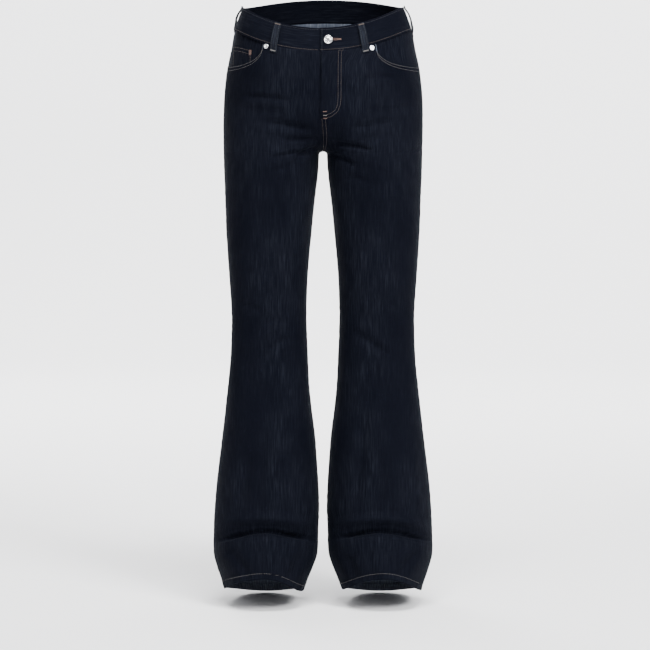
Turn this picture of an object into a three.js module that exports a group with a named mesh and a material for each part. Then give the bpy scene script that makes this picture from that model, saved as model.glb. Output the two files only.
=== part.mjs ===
// Flared five-pocket jeans in the shape they take when worn, hollow and open at the waist and hems.
// Millimetres, +Z up, the front faces -Y and the wearer's left is +X.
// Heights below are above the floor; the part's origin is the middle of the waist, where it is held up.
import * as THREE from "three";

// Overall sizes.
const HOLD_HEIGHT = 1066; // origin
const BAND_TOP = 1091;
const WAIST_SEAM = 1049;
const FLY_BOTTOM = 912;
const CROTCH = 830;
const HEM_TOP = 40;
const HEM_EDGE = 27;

// How far the waist and hem lines run from level, in the middle of the front and of the back.
const WAIST_DIP = -40;
const WAIST_RISE = 18;
const WAIST_TILT_START = 905;
const HEM_ARCH = 36;
const HEM_DROP = -24;
const HEM_TILT_START = 215;

// Walls and gaps.
const CLOTH = 1.2; // denim panel
const DOUBLE = 2.0; // waistband, belt loops
const HEM_WALL = 2.2;
const GAP = 0.3; // between neighbouring pieces
const LAY = 1.5; // between a curved panel and a piece that lies on it or under it
const COIN_LAY = 1.1; // between the right front, the coin pocket and the facing, which bend together

// Shape of the crotch, of the sections and of the stance.
const RISE_CURVE = 80; // height over which the two legs become one torso
const BLEND = 60; // away from the rise seam the blend reaches this far below the crotch, and above it
const BLEND_REACH = 0.42; // angle over which the two blends pass into each other
const BLEND_DEPTH = 0.5; // keeps the lap as deep as the belly and the thighs
const CROTCH_CORNER = 5; // round of the gap's upper corners
const CROTCH_REACH = 0.25; // angle over which the thighs close on the crotch
const FULLNESS = 0.13; // how much squarer than an ellipse the sections are
const HIP_TURN = 0.05; // the hips stand turned a little, in radians

// Closure and pockets. Distances are from the centre line, as seen from the front.
const FLY_LAP = 2.5; // the left front lies this far over the centre line
const BAND_LAP = 3.5;
const BAND_UNDERLAP = 38;
const SHIELD_FROM = -12;
const SHIELD_TO = 42;
const COIN = { from: 126.5, to: 163, top: 1013, bottom: 957, slope: 0.2 };
const YOKE_SIDE = 38; // yoke depth at the side seam
const YOKE_CENTRE = 72;
const BACK_POCKET = { from: 42, to: 167, top: 972, side: 114, point: 22, taper: 0.03 };
const BUTTON = { x: 14.4, z: 1029.5, radius: 7.9, rim: 6.6, height: 3.4 };
const RIVET = { radius: 4.6, height: 1.7, below: 8 };
const LOOP = { width: 12.6, below: 12, bow: 3.1 };

const LEFT = 1;
const RIGHT = -1;
const FRONT = -1;
const BACK = 1;

const table = (names, rows) =>
  rows.map((row) => Object.fromEntries(names.map((name, i) => [name, row[i]])));

// Half of the jeans by height: edges as seen from the front, deepest front and back,
// and the depth at which the side seam and the inseam run.
const SECTIONS = table(
  ["height", "outer", "inner", "front", "back", "side", "inseam"],
  [
    [1091, 146, 0, -94, 98, 2, 5],
    [1049, 161, 0, -102, 110, 4, 5],
    [1012, 168, 0, -108, 120, 6, 5],
    [975, 175.5, 0, -111, 129, 8, 5],
    [931, 180, 0, -110, 135, 8, 5],
    [887, 181.5, 0, -106, 131, 6, 5],
    [843, 181, 6.5, -101, 119, 3, 5],
    [798, 180, 9, -97, 104, 0, 4],
    [732, 177.5, 16.5, -90, 91, -3, 2],
    [666, 175, 23, -84, 80, -5, 0],
    [600, 170.5, 28.5, -77, 70, -6, -2],
    [534, 166.5, 30.5, -67, 59, -6, -3],
    [489, 167, 29.5, -62, 58, -4, -2],
    [445, 169.5, 27.5, -60, 63, 0, 1],
    [401, 174, 25.5, -62, 71, 3, 4],
    [357, 179, 21, -67, 79, 5, 6],
    [313, 184, 15.5, -73, 86, 6, 7],
    [269, 189.5, 12, -79, 92, 6, 7],
    [224, 195, 9, -85, 97, 5, 6],
    [180, 198.5, 7.5, -89, 101, 3, 4],
    [136, 200.5, 9, -90, 104, 0, 0],
    [92, 200.5, 11, -106, 108, -3, -3],
    [70, 195, 18.5, -114, 110, -5, -5],
    [48, 187.5, 27.5, -120, 112, -6, -6],
    [27, 180.5, 35, -125, 114, -6, -6],
  ],
);

// How the front hem's arch falls away to its two ends.
const ARCHES = table(
  ["leg", "outer", "inner"],
  [
    [RIGHT, 1.0, 2.5],
    [LEFT, 1.9, 1.6],
  ],
);

// Folds from one end to the other: distance from the centre line and height. The middle is lifted by
// bow, half is the half width, and depth stands out (+) or sinks in (-).
const FOLDS = table(
  ["leg", "face", "x0", "z0", "x1", "z1", "bow", "half", "depth"],
  [
    // the break over the instep: a lip above, a trough below
    [RIGHT, FRONT, 188, 148, 18, 150, 15, 10, 5.5],
    [RIGHT, FRONT, 194, 126, 90, 143, 6, 10, -9],
    [RIGHT, FRONT, 108, 143, 14, 127, 6, 10, -8],
    [LEFT, FRONT, 190, 146, 30, 150, 15, 10, 5.5],
    [LEFT, FRONT, 194, 124, 88, 143, 7, 10, -8],
    [LEFT, FRONT, 108, 143, 24, 129, 6, 10, -9],
    // below the break: the ridge over the instep and the corners that cave in
    [RIGHT, FRONT, 96, 150, 100, 62, 0, 12, 3],
    [LEFT, FRONT, 94, 150, 100, 62, 0, 14, 2.5],
    [RIGHT, FRONT, 176, 112, 130, 54, 6, 14, -4],
    [LEFT, FRONT, 178, 112, 134, 52, 6, 14, -4],
    [RIGHT, FRONT, 28, 108, 62, 52, 5, 13, -3.5],
    [LEFT, FRONT, 30, 106, 64, 52, 5, 13, -3.5],
    // long soft flutes of the flare
    [RIGHT, FRONT, 86, 350, 104, 165, 0, 18, 3],
    [RIGHT, FRONT, 128, 300, 150, 170, 4, 20, -3],
    [LEFT, FRONT, 76, 330, 62, 165, 0, 18, -3],
    [LEFT, FRONT, 112, 340, 124, 165, 0, 20, 2.5],
    [LEFT, FRONT, 160, 300, 176, 165, 0, 14, 2],
    // drag lines at the knee
    [RIGHT, FRONT, 122, 449, 56, 497, 3, 14, -3.5],
    [LEFT, FRONT, 44, 511, 124, 455, 3, 15, -3.5],
    [RIGHT, FRONT, 160, 560, 96, 528, 4, 10, -1.6],
    [LEFT, FRONT, 160, 520, 110, 560, 4, 10, -1.6],
    // creases that fan out from the crotch
    [RIGHT, FRONT, 112, 884, 18, 866, 4, 8, -3],
    [RIGHT, FRONT, 70, 851, 8, 852, 1, 7, -2.6],
    [RIGHT, FRONT, 56, 812, 8, 838, 5, 7, -2.4],
    [LEFT, FRONT, 14, 850, 92, 831, 2, 8, -3.2],
    [LEFT, FRONT, 50, 878, 132, 890, -3, 8, -2.2],
    [LEFT, FRONT, 12, 828, 60, 806, 2, 7, -2],
    // under the seat, behind the knee and above the heel
    [RIGHT, BACK, 20, 830, 120, 800, 4, 10, -3.5],
    [LEFT, BACK, 20, 828, 124, 797, 4, 10, -3.5],
    [RIGHT, BACK, 36, 782, 140, 768, 6, 11, -2.6],
    [LEFT, BACK, 34, 788, 134, 762, 6, 11, -2.6],
    [RIGHT, BACK, 40, 520, 150, 538, 5, 10, -3.5],
    [LEFT, BACK, 42, 526, 154, 534, 5, 10, -3.5],
    [RIGHT, BACK, 46, 488, 156, 470, -5, 11, -3],
    [LEFT, BACK, 44, 492, 150, 474, -5, 11, -3],
    [RIGHT, BACK, 60, 380, 70, 120, 0, 18, 3],
    [LEFT, BACK, 64, 370, 58, 120, 0, 18, 3],
    [RIGHT, BACK, 120, 360, 150, 120, 0, 18, -3],
    [LEFT, BACK, 122, 350, 146, 120, 0, 18, -3],
    [RIGHT, BACK, 182, 92, 30, 78, 8, 12, -6],
    [LEFT, BACK, 184, 88, 30, 84, 8, 12, -6],
    [RIGHT, BACK, 176, 116, 40, 104, 8, 11, 3.5],
    [LEFT, BACK, 178, 112, 36, 110, 8, 11, 3.5],
  ],
);

// Front pocket openings: where the scoop leaves the waist seam, and where it meets the side seam.
const SCOOPS = table(
  ["leg", "start", "startHeight", "end", "endHeight"],
  [
    [RIGHT, 103.5, 1024.4, 174.5, 984],
    [LEFT, 98, 1023, 174.5, 983],
  ],
);

const SCOOP_ROUND = 0.87; // below 1, the scoop is squarer than an ellipse

// Belt loops: centre at the top and at the bottom, from the centre line, and the half they stand on.
const LOOPS = table(
  ["name", "face", "top", "bottom"],
  [
    ["belt_loop_front_right", FRONT, -75.5, -84.5],
    ["belt_loop_front_left", FRONT, 71.5, 81.5],
    ["belt_loop_side_right", BACK, -149, -161],
    ["belt_loop_side_left", BACK, 149, 161],
    ["belt_loop_back", BACK, 0, 0],
  ],
);

// Section heights of the four panels, close together where the cloth turns sharply.
const LOWER_ROWS = [54, 66, 77, 88, 98, 107, 116, 125, 134, 143, 152, 162, 176, 200, 240, 285, 330, 375,
  415, 445, 460, 475, 490, 505, 522, 545, 580, 630, 680, 730, 775, 798, 814, 825];
const CORNER_ROWS = [0.62, 0.3, 0.08]; // below the crotch, as parts of its corner round
const RISE_ROWS = [0.14, 0.28, 0.42, 0.56, 0.7, 0.85, 1]; // square roots of the part risen

const DENIM = new THREE.MeshStandardMaterial({ color: 0x151b28, roughness: 0.9, name: "denim" });
const METAL = new THREE.MeshStandardMaterial({
  color: 0xc9ccd0, roughness: 0.3, metalness: 1, name: "metal",
});

const mix = (a, b, t) => a + (b - a) * t;
const clamp01 = (t) => Math.min(1, Math.max(0, t));
const ease = (from, to, value) => {
  const t = clamp01((value - from) / (to - from));
  return t * t * (3 - 2 * t);
};

// The angle between a place and the inseam or centre line.
const fromSeam = (angle) => Math.min(Math.abs(angle), Math.abs(2 * Math.PI - angle));

// A smooth curve through one column of the sections table.
function smoothColumn(name) {
  const rows = SECTIONS;
  const slope = (i) => {
    const [a, b] = [rows[Math.max(0, i - 1)], rows[Math.min(rows.length - 1, i + 1)]];
    return (b[name] - a[name]) / (b.height - a.height);
  };
  return (height) => {
    let i = 0;
    while (i < rows.length - 2 && rows[i + 1].height > height) i++;
    const span = rows[i + 1].height - rows[i].height;
    const t = clamp01((height - rows[i].height) / span);
    const s = 1 - t;
    return (1 + 2 * t) * s * s * rows[i][name] + t * s * s * span * slope(i)
      + t * t * (1 + 2 * s) * rows[i + 1][name] - t * t * s * span * slope(i + 1);
  };
}
const [outerAt, innerAt, frontAt, backAt, sideAt, inseamAt] =
  ["outer", "inner", "front", "back", "side", "inseam"].map(smoothColumn);

// How far the section is torso (1) rather than leg (0): a round U along the rise seam, a long blend away
// from it.
function joined(height, angle) {
  const t = 1 - clamp01((height - CROTCH) / RISE_CURVE);
  const along = Math.sqrt(1 - t * t);
  const away = ease(CROTCH - BLEND, CROTCH + BLEND + RISE_CURVE / 4, height);
  const near = Math.exp(-((fromSeam(angle) / BLEND_REACH) ** 2));
  return { w: mix(away, along, near), depth: 1 + BLEND_DEPTH * away * (1 - away) * (1 - near) };
}

// How far the thighs are closed on each other at this height, with a round corner under the crotch.
function closed(height) {
  const t = 1 - clamp01((CROTCH - height) / CROTCH_CORNER);
  return 1 - Math.sqrt(1 - t * t);
}

// How far the line of equal height is moved up, for the sloping waist and the arched hem.
function tilt(side, height, angle) {
  const round = Math.cos(angle / 2);
  const waist = (round > 0 ? WAIST_DIP : WAIST_RISE) * Math.abs(round) ** 2.4
    * ease(WAIST_TILT_START, WAIST_SEAM, height);
  const low = ease(HEM_TILT_START, HEM_EDGE, height);
  if (low === 0) return waist;
  const arch = ARCHES.find((row) => row.leg === side);
  const across = Math.sin(angle);
  const power = across > 0 ? mix(arch.inner, arch.outer, (1 - Math.cos(angle)) / 2) : 1.2;
  return (across > 0 ? HEM_ARCH : HEM_DROP) * Math.abs(across) ** power * low;
}

// A point of one half's section, before the hips are turned. The angle runs from the centre front or
// inseam (0) over the front to the side seam (pi) and over the back to the centre back or inseam (2 pi).
function sectionPoint(height, angle) {
  const outer = outerAt(height);
  const inner = innerAt(height);
  const [front, back, seam, inseam] = [frontAt, backAt, sideAt, inseamAt].map((at) => at(height));
  const across = (1 - Math.cos(angle)) / 2;
  const pinch = inner * closed(height) * Math.exp(-((fromSeam(angle) / CROTCH_REACH) ** 2));
  const deep = Math.sin(angle) > 0 ? front : back;
  const legX = mix(inner, outer, across) - pinch;
  const legY = mix(inseam, seam, across)
    + (deep - (inseam + seam) / 2) * Math.abs(Math.sin(angle)) * (1 + FULLNESS * Math.cos(angle) ** 2);
  const [sine, cosine] = [Math.sin(angle / 2), Math.cos(angle / 2)];
  const torsoX = outer * sine * (1 + FULLNESS * cosine ** 2);
  const torsoY = seam * sine ** 2 + (cosine > 0 ? front : -back) * cosine;
  const { w, depth } = joined(height, angle);
  return [mix(legX, torsoX, w) + GAP / 2, mix(legY, torsoY, w) * depth];
}

// A point of the smooth outer face.
function smoothPoint(side, height, angle) {
  const [across, y] = sectionPoint(height, angle);
  const x = side * across;
  const turn = HIP_TURN * ease(CROTCH, FLY_BOTTOM, height);
  return new THREE.Vector3(
    x * Math.cos(turn) + y * Math.sin(turn),
    y * Math.cos(turn) - x * Math.sin(turn),
    height + tilt(side, height, angle),
  );
}

// Unit normal, pointing out, of a surface given as a function of height and angle.
function normalOf(surface, side, height, angle) {
  const [dh, da] = [0.8, 0.01];
  const up = surface(side, height + dh, angle).sub(surface(side, height - dh, angle));
  const along = surface(side, height, angle + da).sub(surface(side, height, angle - da));
  return along.cross(up).multiplyScalar(side).normalize();
}

// How far the folds move the cloth out at a point.
function foldDepth(side, angle, point) {
  const face = angle > 0 && angle < Math.PI ? FRONT : BACK;
  const x = side * point.x;
  let depth = 0;
  for (const fold of FOLDS) {
    if (fold.leg !== side || fold.face !== face) continue;
    const [dx, dz] = [fold.x1 - fold.x0, fold.z1 - fold.z0];
    const length = Math.hypot(dx, dz);
    const t = ((x - fold.x0) * dx + (point.z - fold.z0) * dz) / length ** 2;
    if (t <= 0 || t >= 1) continue;
    const off = Math.abs(((point.z - fold.z0) * dx - (x - fold.x0) * dz) / length * Math.sign(dx || 1)
      - fold.bow * 4 * t * (1 - t));
    if (off >= fold.half) continue;
    const ends = ease(0, 0.3, t) * ease(1, 0.7, t);
    depth += fold.depth * ends * (1 + Math.cos((Math.PI * off) / fold.half)) / 2;
  }
  return depth;
}

// How far the left front is lifted to lie over the right one at the fly.
function flyLift(side, height, angle) {
  if (side !== LEFT || angle > 1) return 0;
  return (CLOTH + GAP) * ease(0.3, 0.08, angle) * ease(FLY_BOTTOM - 28, FLY_BOTTOM - 3, height);
}

function foldedPoint(side, height, angle) {
  const point = smoothPoint(side, height, angle);
  const depth = foldDepth(side, angle, point);
  if (depth === 0) return point;
  return point.addScaledVector(normalOf(smoothPoint, side, height, angle), depth);
}

// A point of the folded cloth, moved out along its normal.
function clothPoint(side, height, angle, out) {
  const normal = normalOf(foldedPoint, side, height, angle);
  return foldedPoint(side, height, angle).addScaledVector(normal, out);
}

// The angle and height of the cloth at a distance from the centre line and a height above the floor.
function locate(side, face, x, z) {
  let height = z;
  let angle = Math.PI / 2;
  for (let pass = 0; pass < 12; pass++) {
    let [low, high] = face === FRONT ? [-0.4, Math.PI] : [2 * Math.PI, Math.PI];
    for (let i = 0; i < 40; i++) {
      const middle = (low + high) / 2;
      if (sectionPoint(height, middle)[0] < x) low = middle;
      else high = middle;
    }
    angle = (low + high) / 2;
    height = z - tilt(side, height, angle);
  }
  return { angle, height };
}

// Half a seam gap as an angle.
function seamAngle(side, height, angle) {
  const step = 0.02;
  const run = smoothPoint(side, height, angle + step).distanceTo(smoothPoint(side, height, angle));
  return (GAP / 2) * (step / run);
}

// A closed solid between two faces, each a grid of points; a ring's last column meets its first.
function solid(name, material, outside, inside, ring = false) {
  const rows = outside.length;
  const columns = outside[0].length;
  const positions = [...outside, ...inside].flat().flatMap((p) => [p.x, p.y, p.z - HOLD_HEIGHT]);
  const at = (face, i, j) => (face * rows + i) * columns + (j % columns);
  const faces = [];
  const quad = (a, b, c, d) => faces.push(a, b, c, a, c, d);
  const across = ring ? columns : columns - 1;
  for (let j = 0; j < across; j++) {
    for (let i = 0; i < rows - 1; i++) {
      quad(at(0, i, j), at(0, i, j + 1), at(0, i + 1, j + 1), at(0, i + 1, j));
      quad(at(1, i, j), at(1, i + 1, j), at(1, i + 1, j + 1), at(1, i, j + 1));
    }
    quad(at(0, 0, j), at(1, 0, j), at(1, 0, j + 1), at(0, 0, j + 1));
    quad(at(0, rows - 1, j), at(0, rows - 1, j + 1), at(1, rows - 1, j + 1), at(1, rows - 1, j));
  }
  for (let i = 0; i < rows - 1 && !ring; i++) {
    quad(at(0, i, 0), at(0, i + 1, 0), at(1, i + 1, 0), at(1, i, 0));
    const last = columns - 1;
    quad(at(0, i, last), at(1, i, last), at(1, i + 1, last), at(0, i + 1, last));
  }
  let volume = 0;
  const corner = (k) => new THREE.Vector3().fromArray(positions, 3 * faces[k]);
  for (let k = 0; k < faces.length; k += 3) volume += corner(k).dot(corner(k + 1).cross(corner(k + 2)));
  if (volume < 0) faces.reverse();
  const geometry = new THREE.BufferGeometry();
  geometry.setAttribute("position", new THREE.Float32BufferAttribute(positions, 3));
  geometry.setIndex(faces);
  geometry.computeVertexNormals();
  const mesh = new THREE.Mesh(geometry, material);
  mesh.name = name;
  return mesh;
}

// A cloth solid from a grid of places on one half of the jeans, moved out and given a wall.
function clothSolid(name, side, places, wall, out = () => 0, ring = false) {
  const face = (shift) => places.map((row) => row.map(({ height, angle }) =>
    clothPoint(side, height, angle, out(height, angle) + shift)));
  return solid(name, DENIM, face(0), face(-wall), ring);
}

const steps = (count) => Array.from({ length: count + 1 }, (_, i) => i / count);
const sideName = (side) => (side === LEFT ? "left" : "right");

const PANEL_COLUMNS = 12;

// The heights of a panel's rows up to the top of the rise curve.
const PANEL_ROWS = [
  HEM_TOP + GAP,
  ...LOWER_ROWS,
  ...CORNER_ROWS.map((part) => CROTCH - CROTCH_CORNER * part),
  CROTCH,
  ...RISE_ROWS.map((root) => CROTCH + RISE_CURVE * root * root),
];

// The centre front edge; the left front laps over the centre line above the fly's bottom.
function frontEdge(side, height) {
  const seam = seamAngle(side, height, 0);
  if (side === RIGHT) return seam;
  const lap = FLY_LAP / (outerAt(height) / 2 * (1 + FULLNESS));
  return mix(seam, -lap, ease(FLY_BOTTOM, FLY_BOTTOM + 14, height));
}

// Places along a scoop, evenly spaced over the cloth, from the waist seam to the side seam.
function scoopPlaces(side, count) {
  const { start, startHeight, end, endHeight } = SCOOPS.find((row) => row.leg === side);
  const fine = steps(60).map((part) => {
    if (part === 1) return { height: endHeight, angle: Math.PI };
    const turn = (part * Math.PI) / 2;
    return locate(side, FRONT, end - (end - start) * Math.cos(turn) ** SCOOP_ROUND,
      startHeight - (startHeight - endHeight) * Math.sin(turn) ** SCOOP_ROUND);
  });
  const points = fine.map(({ height, angle }) => smoothPoint(side, height, angle));
  const run = [0];
  for (let i = 1; i < fine.length; i++) run.push(run[i - 1] + points[i].distanceTo(points[i - 1]));
  return steps(count).map((part) => {
    const goal = part * run.at(-1);
    const i = Math.min(fine.length - 1, Math.max(1, run.findIndex((length) => length >= goal)));
    const t = (goal - run[i - 1]) / (run[i] - run[i - 1]);
    return {
      height: mix(fine[i - 1].height, fine[i].height, t),
      angle: mix(fine[i - 1].angle, fine[i].angle, t),
    };
  });
}

function frontPanel(side) {
  const columns = PANEL_COLUMNS;
  const toScoop = 5; // columns up to the scoop's start
  const sideEdge = (height) => Math.PI - seamAngle(side, height, Math.PI);
  const place = (height, part) => ({ height, angle: mix(frontEdge(side, height), sideEdge(height), part) });
  const places = PANEL_ROWS.map((height) => steps(columns).map((part) => place(height, part)));
  const top = WAIST_SEAM - GAP / 2;
  const scoop = scoopPlaces(side, columns - toScoop);
  const partAt = (angle, height) =>
    (angle - frontEdge(side, height)) / (sideEdge(height) - frontEdge(side, height));
  const ends = steps(columns).map((part, j) => {
    if (j <= toScoop) return { height: top, part: partAt(scoop[0].angle, top) * (j / toScoop) };
    const spot = scoop[j - toScoop];
    return { height: spot.height, part: Math.min(1, partAt(spot.angle, spot.height)) };
  });
  const base = PANEL_ROWS.at(-1);
  for (const rise of steps(6).slice(1)) {
    places.push(ends.map((end, j) => place(mix(base, end.height, rise), mix(j / columns, end.part, rise))));
  }
  return clothSolid(`front_${sideName(side)}`, side, places, CLOTH,
    (height, angle) => flyLift(side, height, angle));
}

// The yoke seam, by how far round the back it is.
const yokeLine = (part) => WAIST_SEAM - mix(YOKE_SIDE, YOKE_CENTRE, part);

function backPlace(side, height, part) {
  const from = Math.PI + seamAngle(side, height, Math.PI);
  return { height, angle: mix(from, 2 * Math.PI - seamAngle(side, height, 0), part) };
}

function backPanel(side) {
  const places = PANEL_ROWS.map((height) => steps(PANEL_COLUMNS).map((part) => backPlace(side, height, part)));
  const base = PANEL_ROWS.at(-1);
  for (const rise of steps(3).slice(1)) {
    places.push(steps(PANEL_COLUMNS).map((part) =>
      backPlace(side, mix(base, yokeLine(part) - GAP / 2, rise), part)));
  }
  return clothSolid(`back_${sideName(side)}`, side, places, CLOTH);
}

function yoke(side) {
  const places = steps(3).map((rise) => steps(PANEL_COLUMNS).map((part) =>
    backPlace(side, mix(yokeLine(part) + GAP / 2, WAIST_SEAM - GAP / 2, rise), part)));
  return clothSolid(`yoke_${sideName(side)}`, side, places, CLOTH);
}

function hem(side) {
  const places = [HEM_EDGE, HEM_TOP].map((height) =>
    steps(2 * PANEL_COLUMNS).slice(0, -1).map((part) => ({ height, angle: part * 2 * Math.PI })));
  return clothSolid(`hem_${sideName(side)}`, side, places, HEM_WALL, () => (HEM_WALL - CLOTH) / 2, true);
}

// The piece that shows in the pocket opening, under the front panel; deeper where it carries a coin pocket.
function pocketFacing(side) {
  const scoop = SCOOPS.find((row) => row.leg === side);
  const under = side === RIGHT ? 2 * (CLOTH + COIN_LAY) : CLOTH + LAY;
  const from = locate(side, FRONT, scoop.start - 16, scoop.startHeight).angle;
  const places = steps(4).map((down) => steps(9).map((part) => {
    const height = mix(WAIST_SEAM - GAP / 2, mix(WAIST_SEAM - 42, scoop.endHeight - 18, part), down);
    return { height, angle: mix(from, Math.PI - 2 * seamAngle(side, height, Math.PI), part) };
  }));
  return clothSolid(`pocket_facing_${sideName(side)}`, side, places, CLOTH, () => -under);
}

function coinPocket() {
  const places = steps(3).map((down) => steps(5).map((part) => {
    const x = mix(COIN.from, COIN.to, part);
    const rise = COIN.slope * (x - COIN.from) * (1 - down);
    return locate(RIGHT, FRONT, x, mix(COIN.top, COIN.bottom, down) + rise);
  }));
  return clothSolid("coin_pocket", RIGHT, places, CLOTH, () => -(CLOTH + COIN_LAY));
}

// A plain patch pocket with a pointed foot, narrower below by its taper at each edge.
function backPocket(side) {
  const { from, to, top, side: drop, point, taper } = BACK_POCKET;
  const [inner, outer] = [from, to].map((x) => locate(side, BACK, x, top).angle);
  const places = steps(11).map((down) => steps(9).map((part) => {
    const angle = mix(outer + taper * down, inner - taper * down, part);
    const foot = drop + point * (1 - Math.abs(2 * part - 1));
    return { angle, height: top - foot * down - tilt(side, top, angle) };
  }));
  return clothSolid(`back_pocket_${sideName(side)}`, side, places, CLOTH, () => CLOTH + LAY);
}

// The torso all round, by its angle from the centre front (+ to the wearer's left).
function ringPoint(_, height, round) {
  const turn = Math.atan2(Math.sin(round), Math.cos(round));
  const side = turn < 0 ? RIGHT : LEFT;
  const point = smoothPoint(side, height, 2 * Math.abs(turn));
  point.x -= side * GAP / 2;
  return point;
}

function ringSolid(name, places, wall, out) {
  const face = (shift) => places.map((row) => row.map(({ height, round }) =>
    ringPoint(LEFT, height, round)
      .addScaledVector(normalOf(ringPoint, LEFT, height, round), out(height, round) + shift)));
  return solid(name, DENIM, face(0), face(-wall));
}

// The torso's angle at a distance from the centre line.
const roundAt = (x, height) => x / (outerAt(height) * (1 + FULLNESS));

const BAND_OUT = 0.6;

function waistband() {
  const start = roundAt(BAND_UNDERLAP, WAIST_SEAM);
  const end = -2 * Math.PI - roundAt(BAND_LAP, WAIST_SEAM);
  const near = [start, start * 0.55, 0.04, -0.06, -0.1, -0.14, -0.19];
  const turns = [...near, ...steps(50).slice(1).map((part) => mix(-0.19, end, part))];
  const places = [WAIST_SEAM + GAP / 2, mix(WAIST_SEAM, BAND_TOP, 0.5), BAND_TOP].map((height) =>
    turns.map((round) => ({ height, round })));
  const out = (_, round) => BAND_OUT - (DOUBLE + GAP) * (1 - ease(0.06, 0.17, -round));
  return ringSolid("waistband", places, DOUBLE, out);
}

function flyShield() {
  const places = steps(8).map((rise) => steps(3).map((part) => {
    const height = mix(FLY_BOTTOM - 6, WAIST_SEAM - GAP / 2, rise);
    return { height, round: roundAt(mix(SHIELD_FROM, SHIELD_TO, part), height) };
  }));
  return ringSolid("fly_shield", places, CLOTH, () => -(CLOTH + LAY));
}

function beltLoop({ name, face, top, bottom }) {
  const heights = steps(8).map((rise) => mix(WAIST_SEAM - LOOP.below, BAND_TOP - 1, rise));
  const places = heights.map((height, i) => {
    const x = mix(bottom, top, i / 8);
    const ratio = Math.min(0.999, Math.abs(x) / outerAt(height));
    let round = Math.asin(ratio);
    for (let k = 0; k < 20; k++) round = Math.asin(Math.min(1, ratio / (1 + FULLNESS * Math.cos(round) ** 2)));
    round = Math.sign(x || 1) * (face === BACK ? Math.PI - round : round);
    const step = 0.02;
    const run = ringPoint(LEFT, height, round + step).distanceTo(ringPoint(LEFT, height, round)) / step;
    return [-1, 0, 1].map((edge) => ({ height, round: round + (edge * LOOP.width) / 2 / run }));
  });
  const out = (height) => {
    const part = (height - heights[0]) / (heights.at(-1) - heights[0]);
    const base = mix(0, BAND_OUT, ease(WAIST_SEAM - 6, WAIST_SEAM - 1, height)) + GAP;
    return base + DOUBLE + LOOP.bow * ease(0.06, 0.3, part) * ease(0.95, 0.7, part);
  };
  return ringSolid(name, places, DOUBLE, out);
}

// A turned metal piece standing on the cloth, from a profile of [radius, height above the cloth].
function turned(name, profile, point, normal) {
  const sides = 20;
  const geometry = new THREE.LatheGeometry(profile.map(([r, h]) => new THREE.Vector2(r, h)), sides);
  geometry.applyQuaternion(new THREE.Quaternion().setFromUnitVectors(new THREE.Vector3(0, 1, 0), normal));
  geometry.translate(point.x, point.y, point.z - HOLD_HEIGHT);
  const mesh = new THREE.Mesh(geometry, METAL);
  mesh.name = name;
  return mesh;
}

function button() {
  const { x, z, radius, rim, height } = BUTTON;
  const spot = locate(LEFT, FRONT, x, z);
  const normal = normalOf(smoothPoint, LEFT, spot.height, spot.angle);
  const point = smoothPoint(LEFT, spot.height, spot.angle).addScaledVector(normal, BAND_OUT + GAP);
  return turned("button", [
    [0, 0], [3, 0], [3, 1.1], [radius, 1.1], [radius, height - 0.6], [radius - 0.7, height],
    [rim, height], [rim - 0.5, height - 0.7], [0, height - 0.7],
  ], point, normal);
}

function rivet(side) {
  const scoop = SCOOPS.find((row) => row.leg === side);
  const spot = locate(side, FRONT, scoop.start - 6, scoop.startHeight - RIVET.below);
  const normal = normalOf(smoothPoint, side, spot.height, spot.angle);
  const point = smoothPoint(side, spot.height, spot.angle).addScaledVector(normal, GAP);
  const { radius, height } = RIVET;
  return turned(`rivet_${sideName(side)}`, [
    [0, 0], [radius, 0], [radius, height - 0.9], [radius * 0.6, height - 0.1], [radius * 0.3, height], [0, height],
  ], point, normal);
}

const jeans = new THREE.Group();
jeans.name = "flared_jeans";
for (const side of [LEFT, RIGHT]) {
  jeans.add(frontPanel(side), backPanel(side), yoke(side), hem(side), pocketFacing(side), backPocket(side),
    rivet(side));
}
jeans.add(waistband(), flyShield(), coinPocket(), button(), ...LOOPS.map(beltLoop));

export default jeans;
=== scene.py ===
"""Flared jeans in their worn shape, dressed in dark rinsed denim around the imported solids."""

import logging
import math
from dataclasses import dataclass, field
from enum import Enum
from typing import Callable, NamedTuple, Sequence

import bmesh
import bpy
import numpy as np
from mathutils import Matrix, Vector
from mathutils.bvhtree import BVHTree


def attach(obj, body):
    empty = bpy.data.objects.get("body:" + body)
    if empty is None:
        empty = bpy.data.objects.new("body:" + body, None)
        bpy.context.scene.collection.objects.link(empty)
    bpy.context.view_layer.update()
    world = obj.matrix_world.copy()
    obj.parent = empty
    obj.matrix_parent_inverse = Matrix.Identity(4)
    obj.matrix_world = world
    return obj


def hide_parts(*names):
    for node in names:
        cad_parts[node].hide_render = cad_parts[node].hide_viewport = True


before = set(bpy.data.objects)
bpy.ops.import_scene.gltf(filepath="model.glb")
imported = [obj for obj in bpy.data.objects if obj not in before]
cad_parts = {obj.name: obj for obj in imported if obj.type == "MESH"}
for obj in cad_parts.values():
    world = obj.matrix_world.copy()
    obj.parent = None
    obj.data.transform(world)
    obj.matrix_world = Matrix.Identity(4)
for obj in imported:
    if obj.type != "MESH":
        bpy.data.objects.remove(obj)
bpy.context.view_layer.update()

logging.basicConfig(level=logging.INFO, format="%(message)s")
log = logging.getLogger("jeans")

MM = 0.001
Array = np.ndarray
Triple = tuple[float, float, float]


class Side(Enum):
    """Which half of the jeans, by the wearer's side; the value is the sign of X."""

    LEFT = 1
    RIGHT = -1


class Face(Enum):
    """The front or the back of a leg."""

    FRONT = -1
    BACK = 1


class Slot(Enum):
    """Material slots of the record."""

    DENIM = "denim"
    METAL = "button_metal"
    THREAD = "thread"


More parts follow.
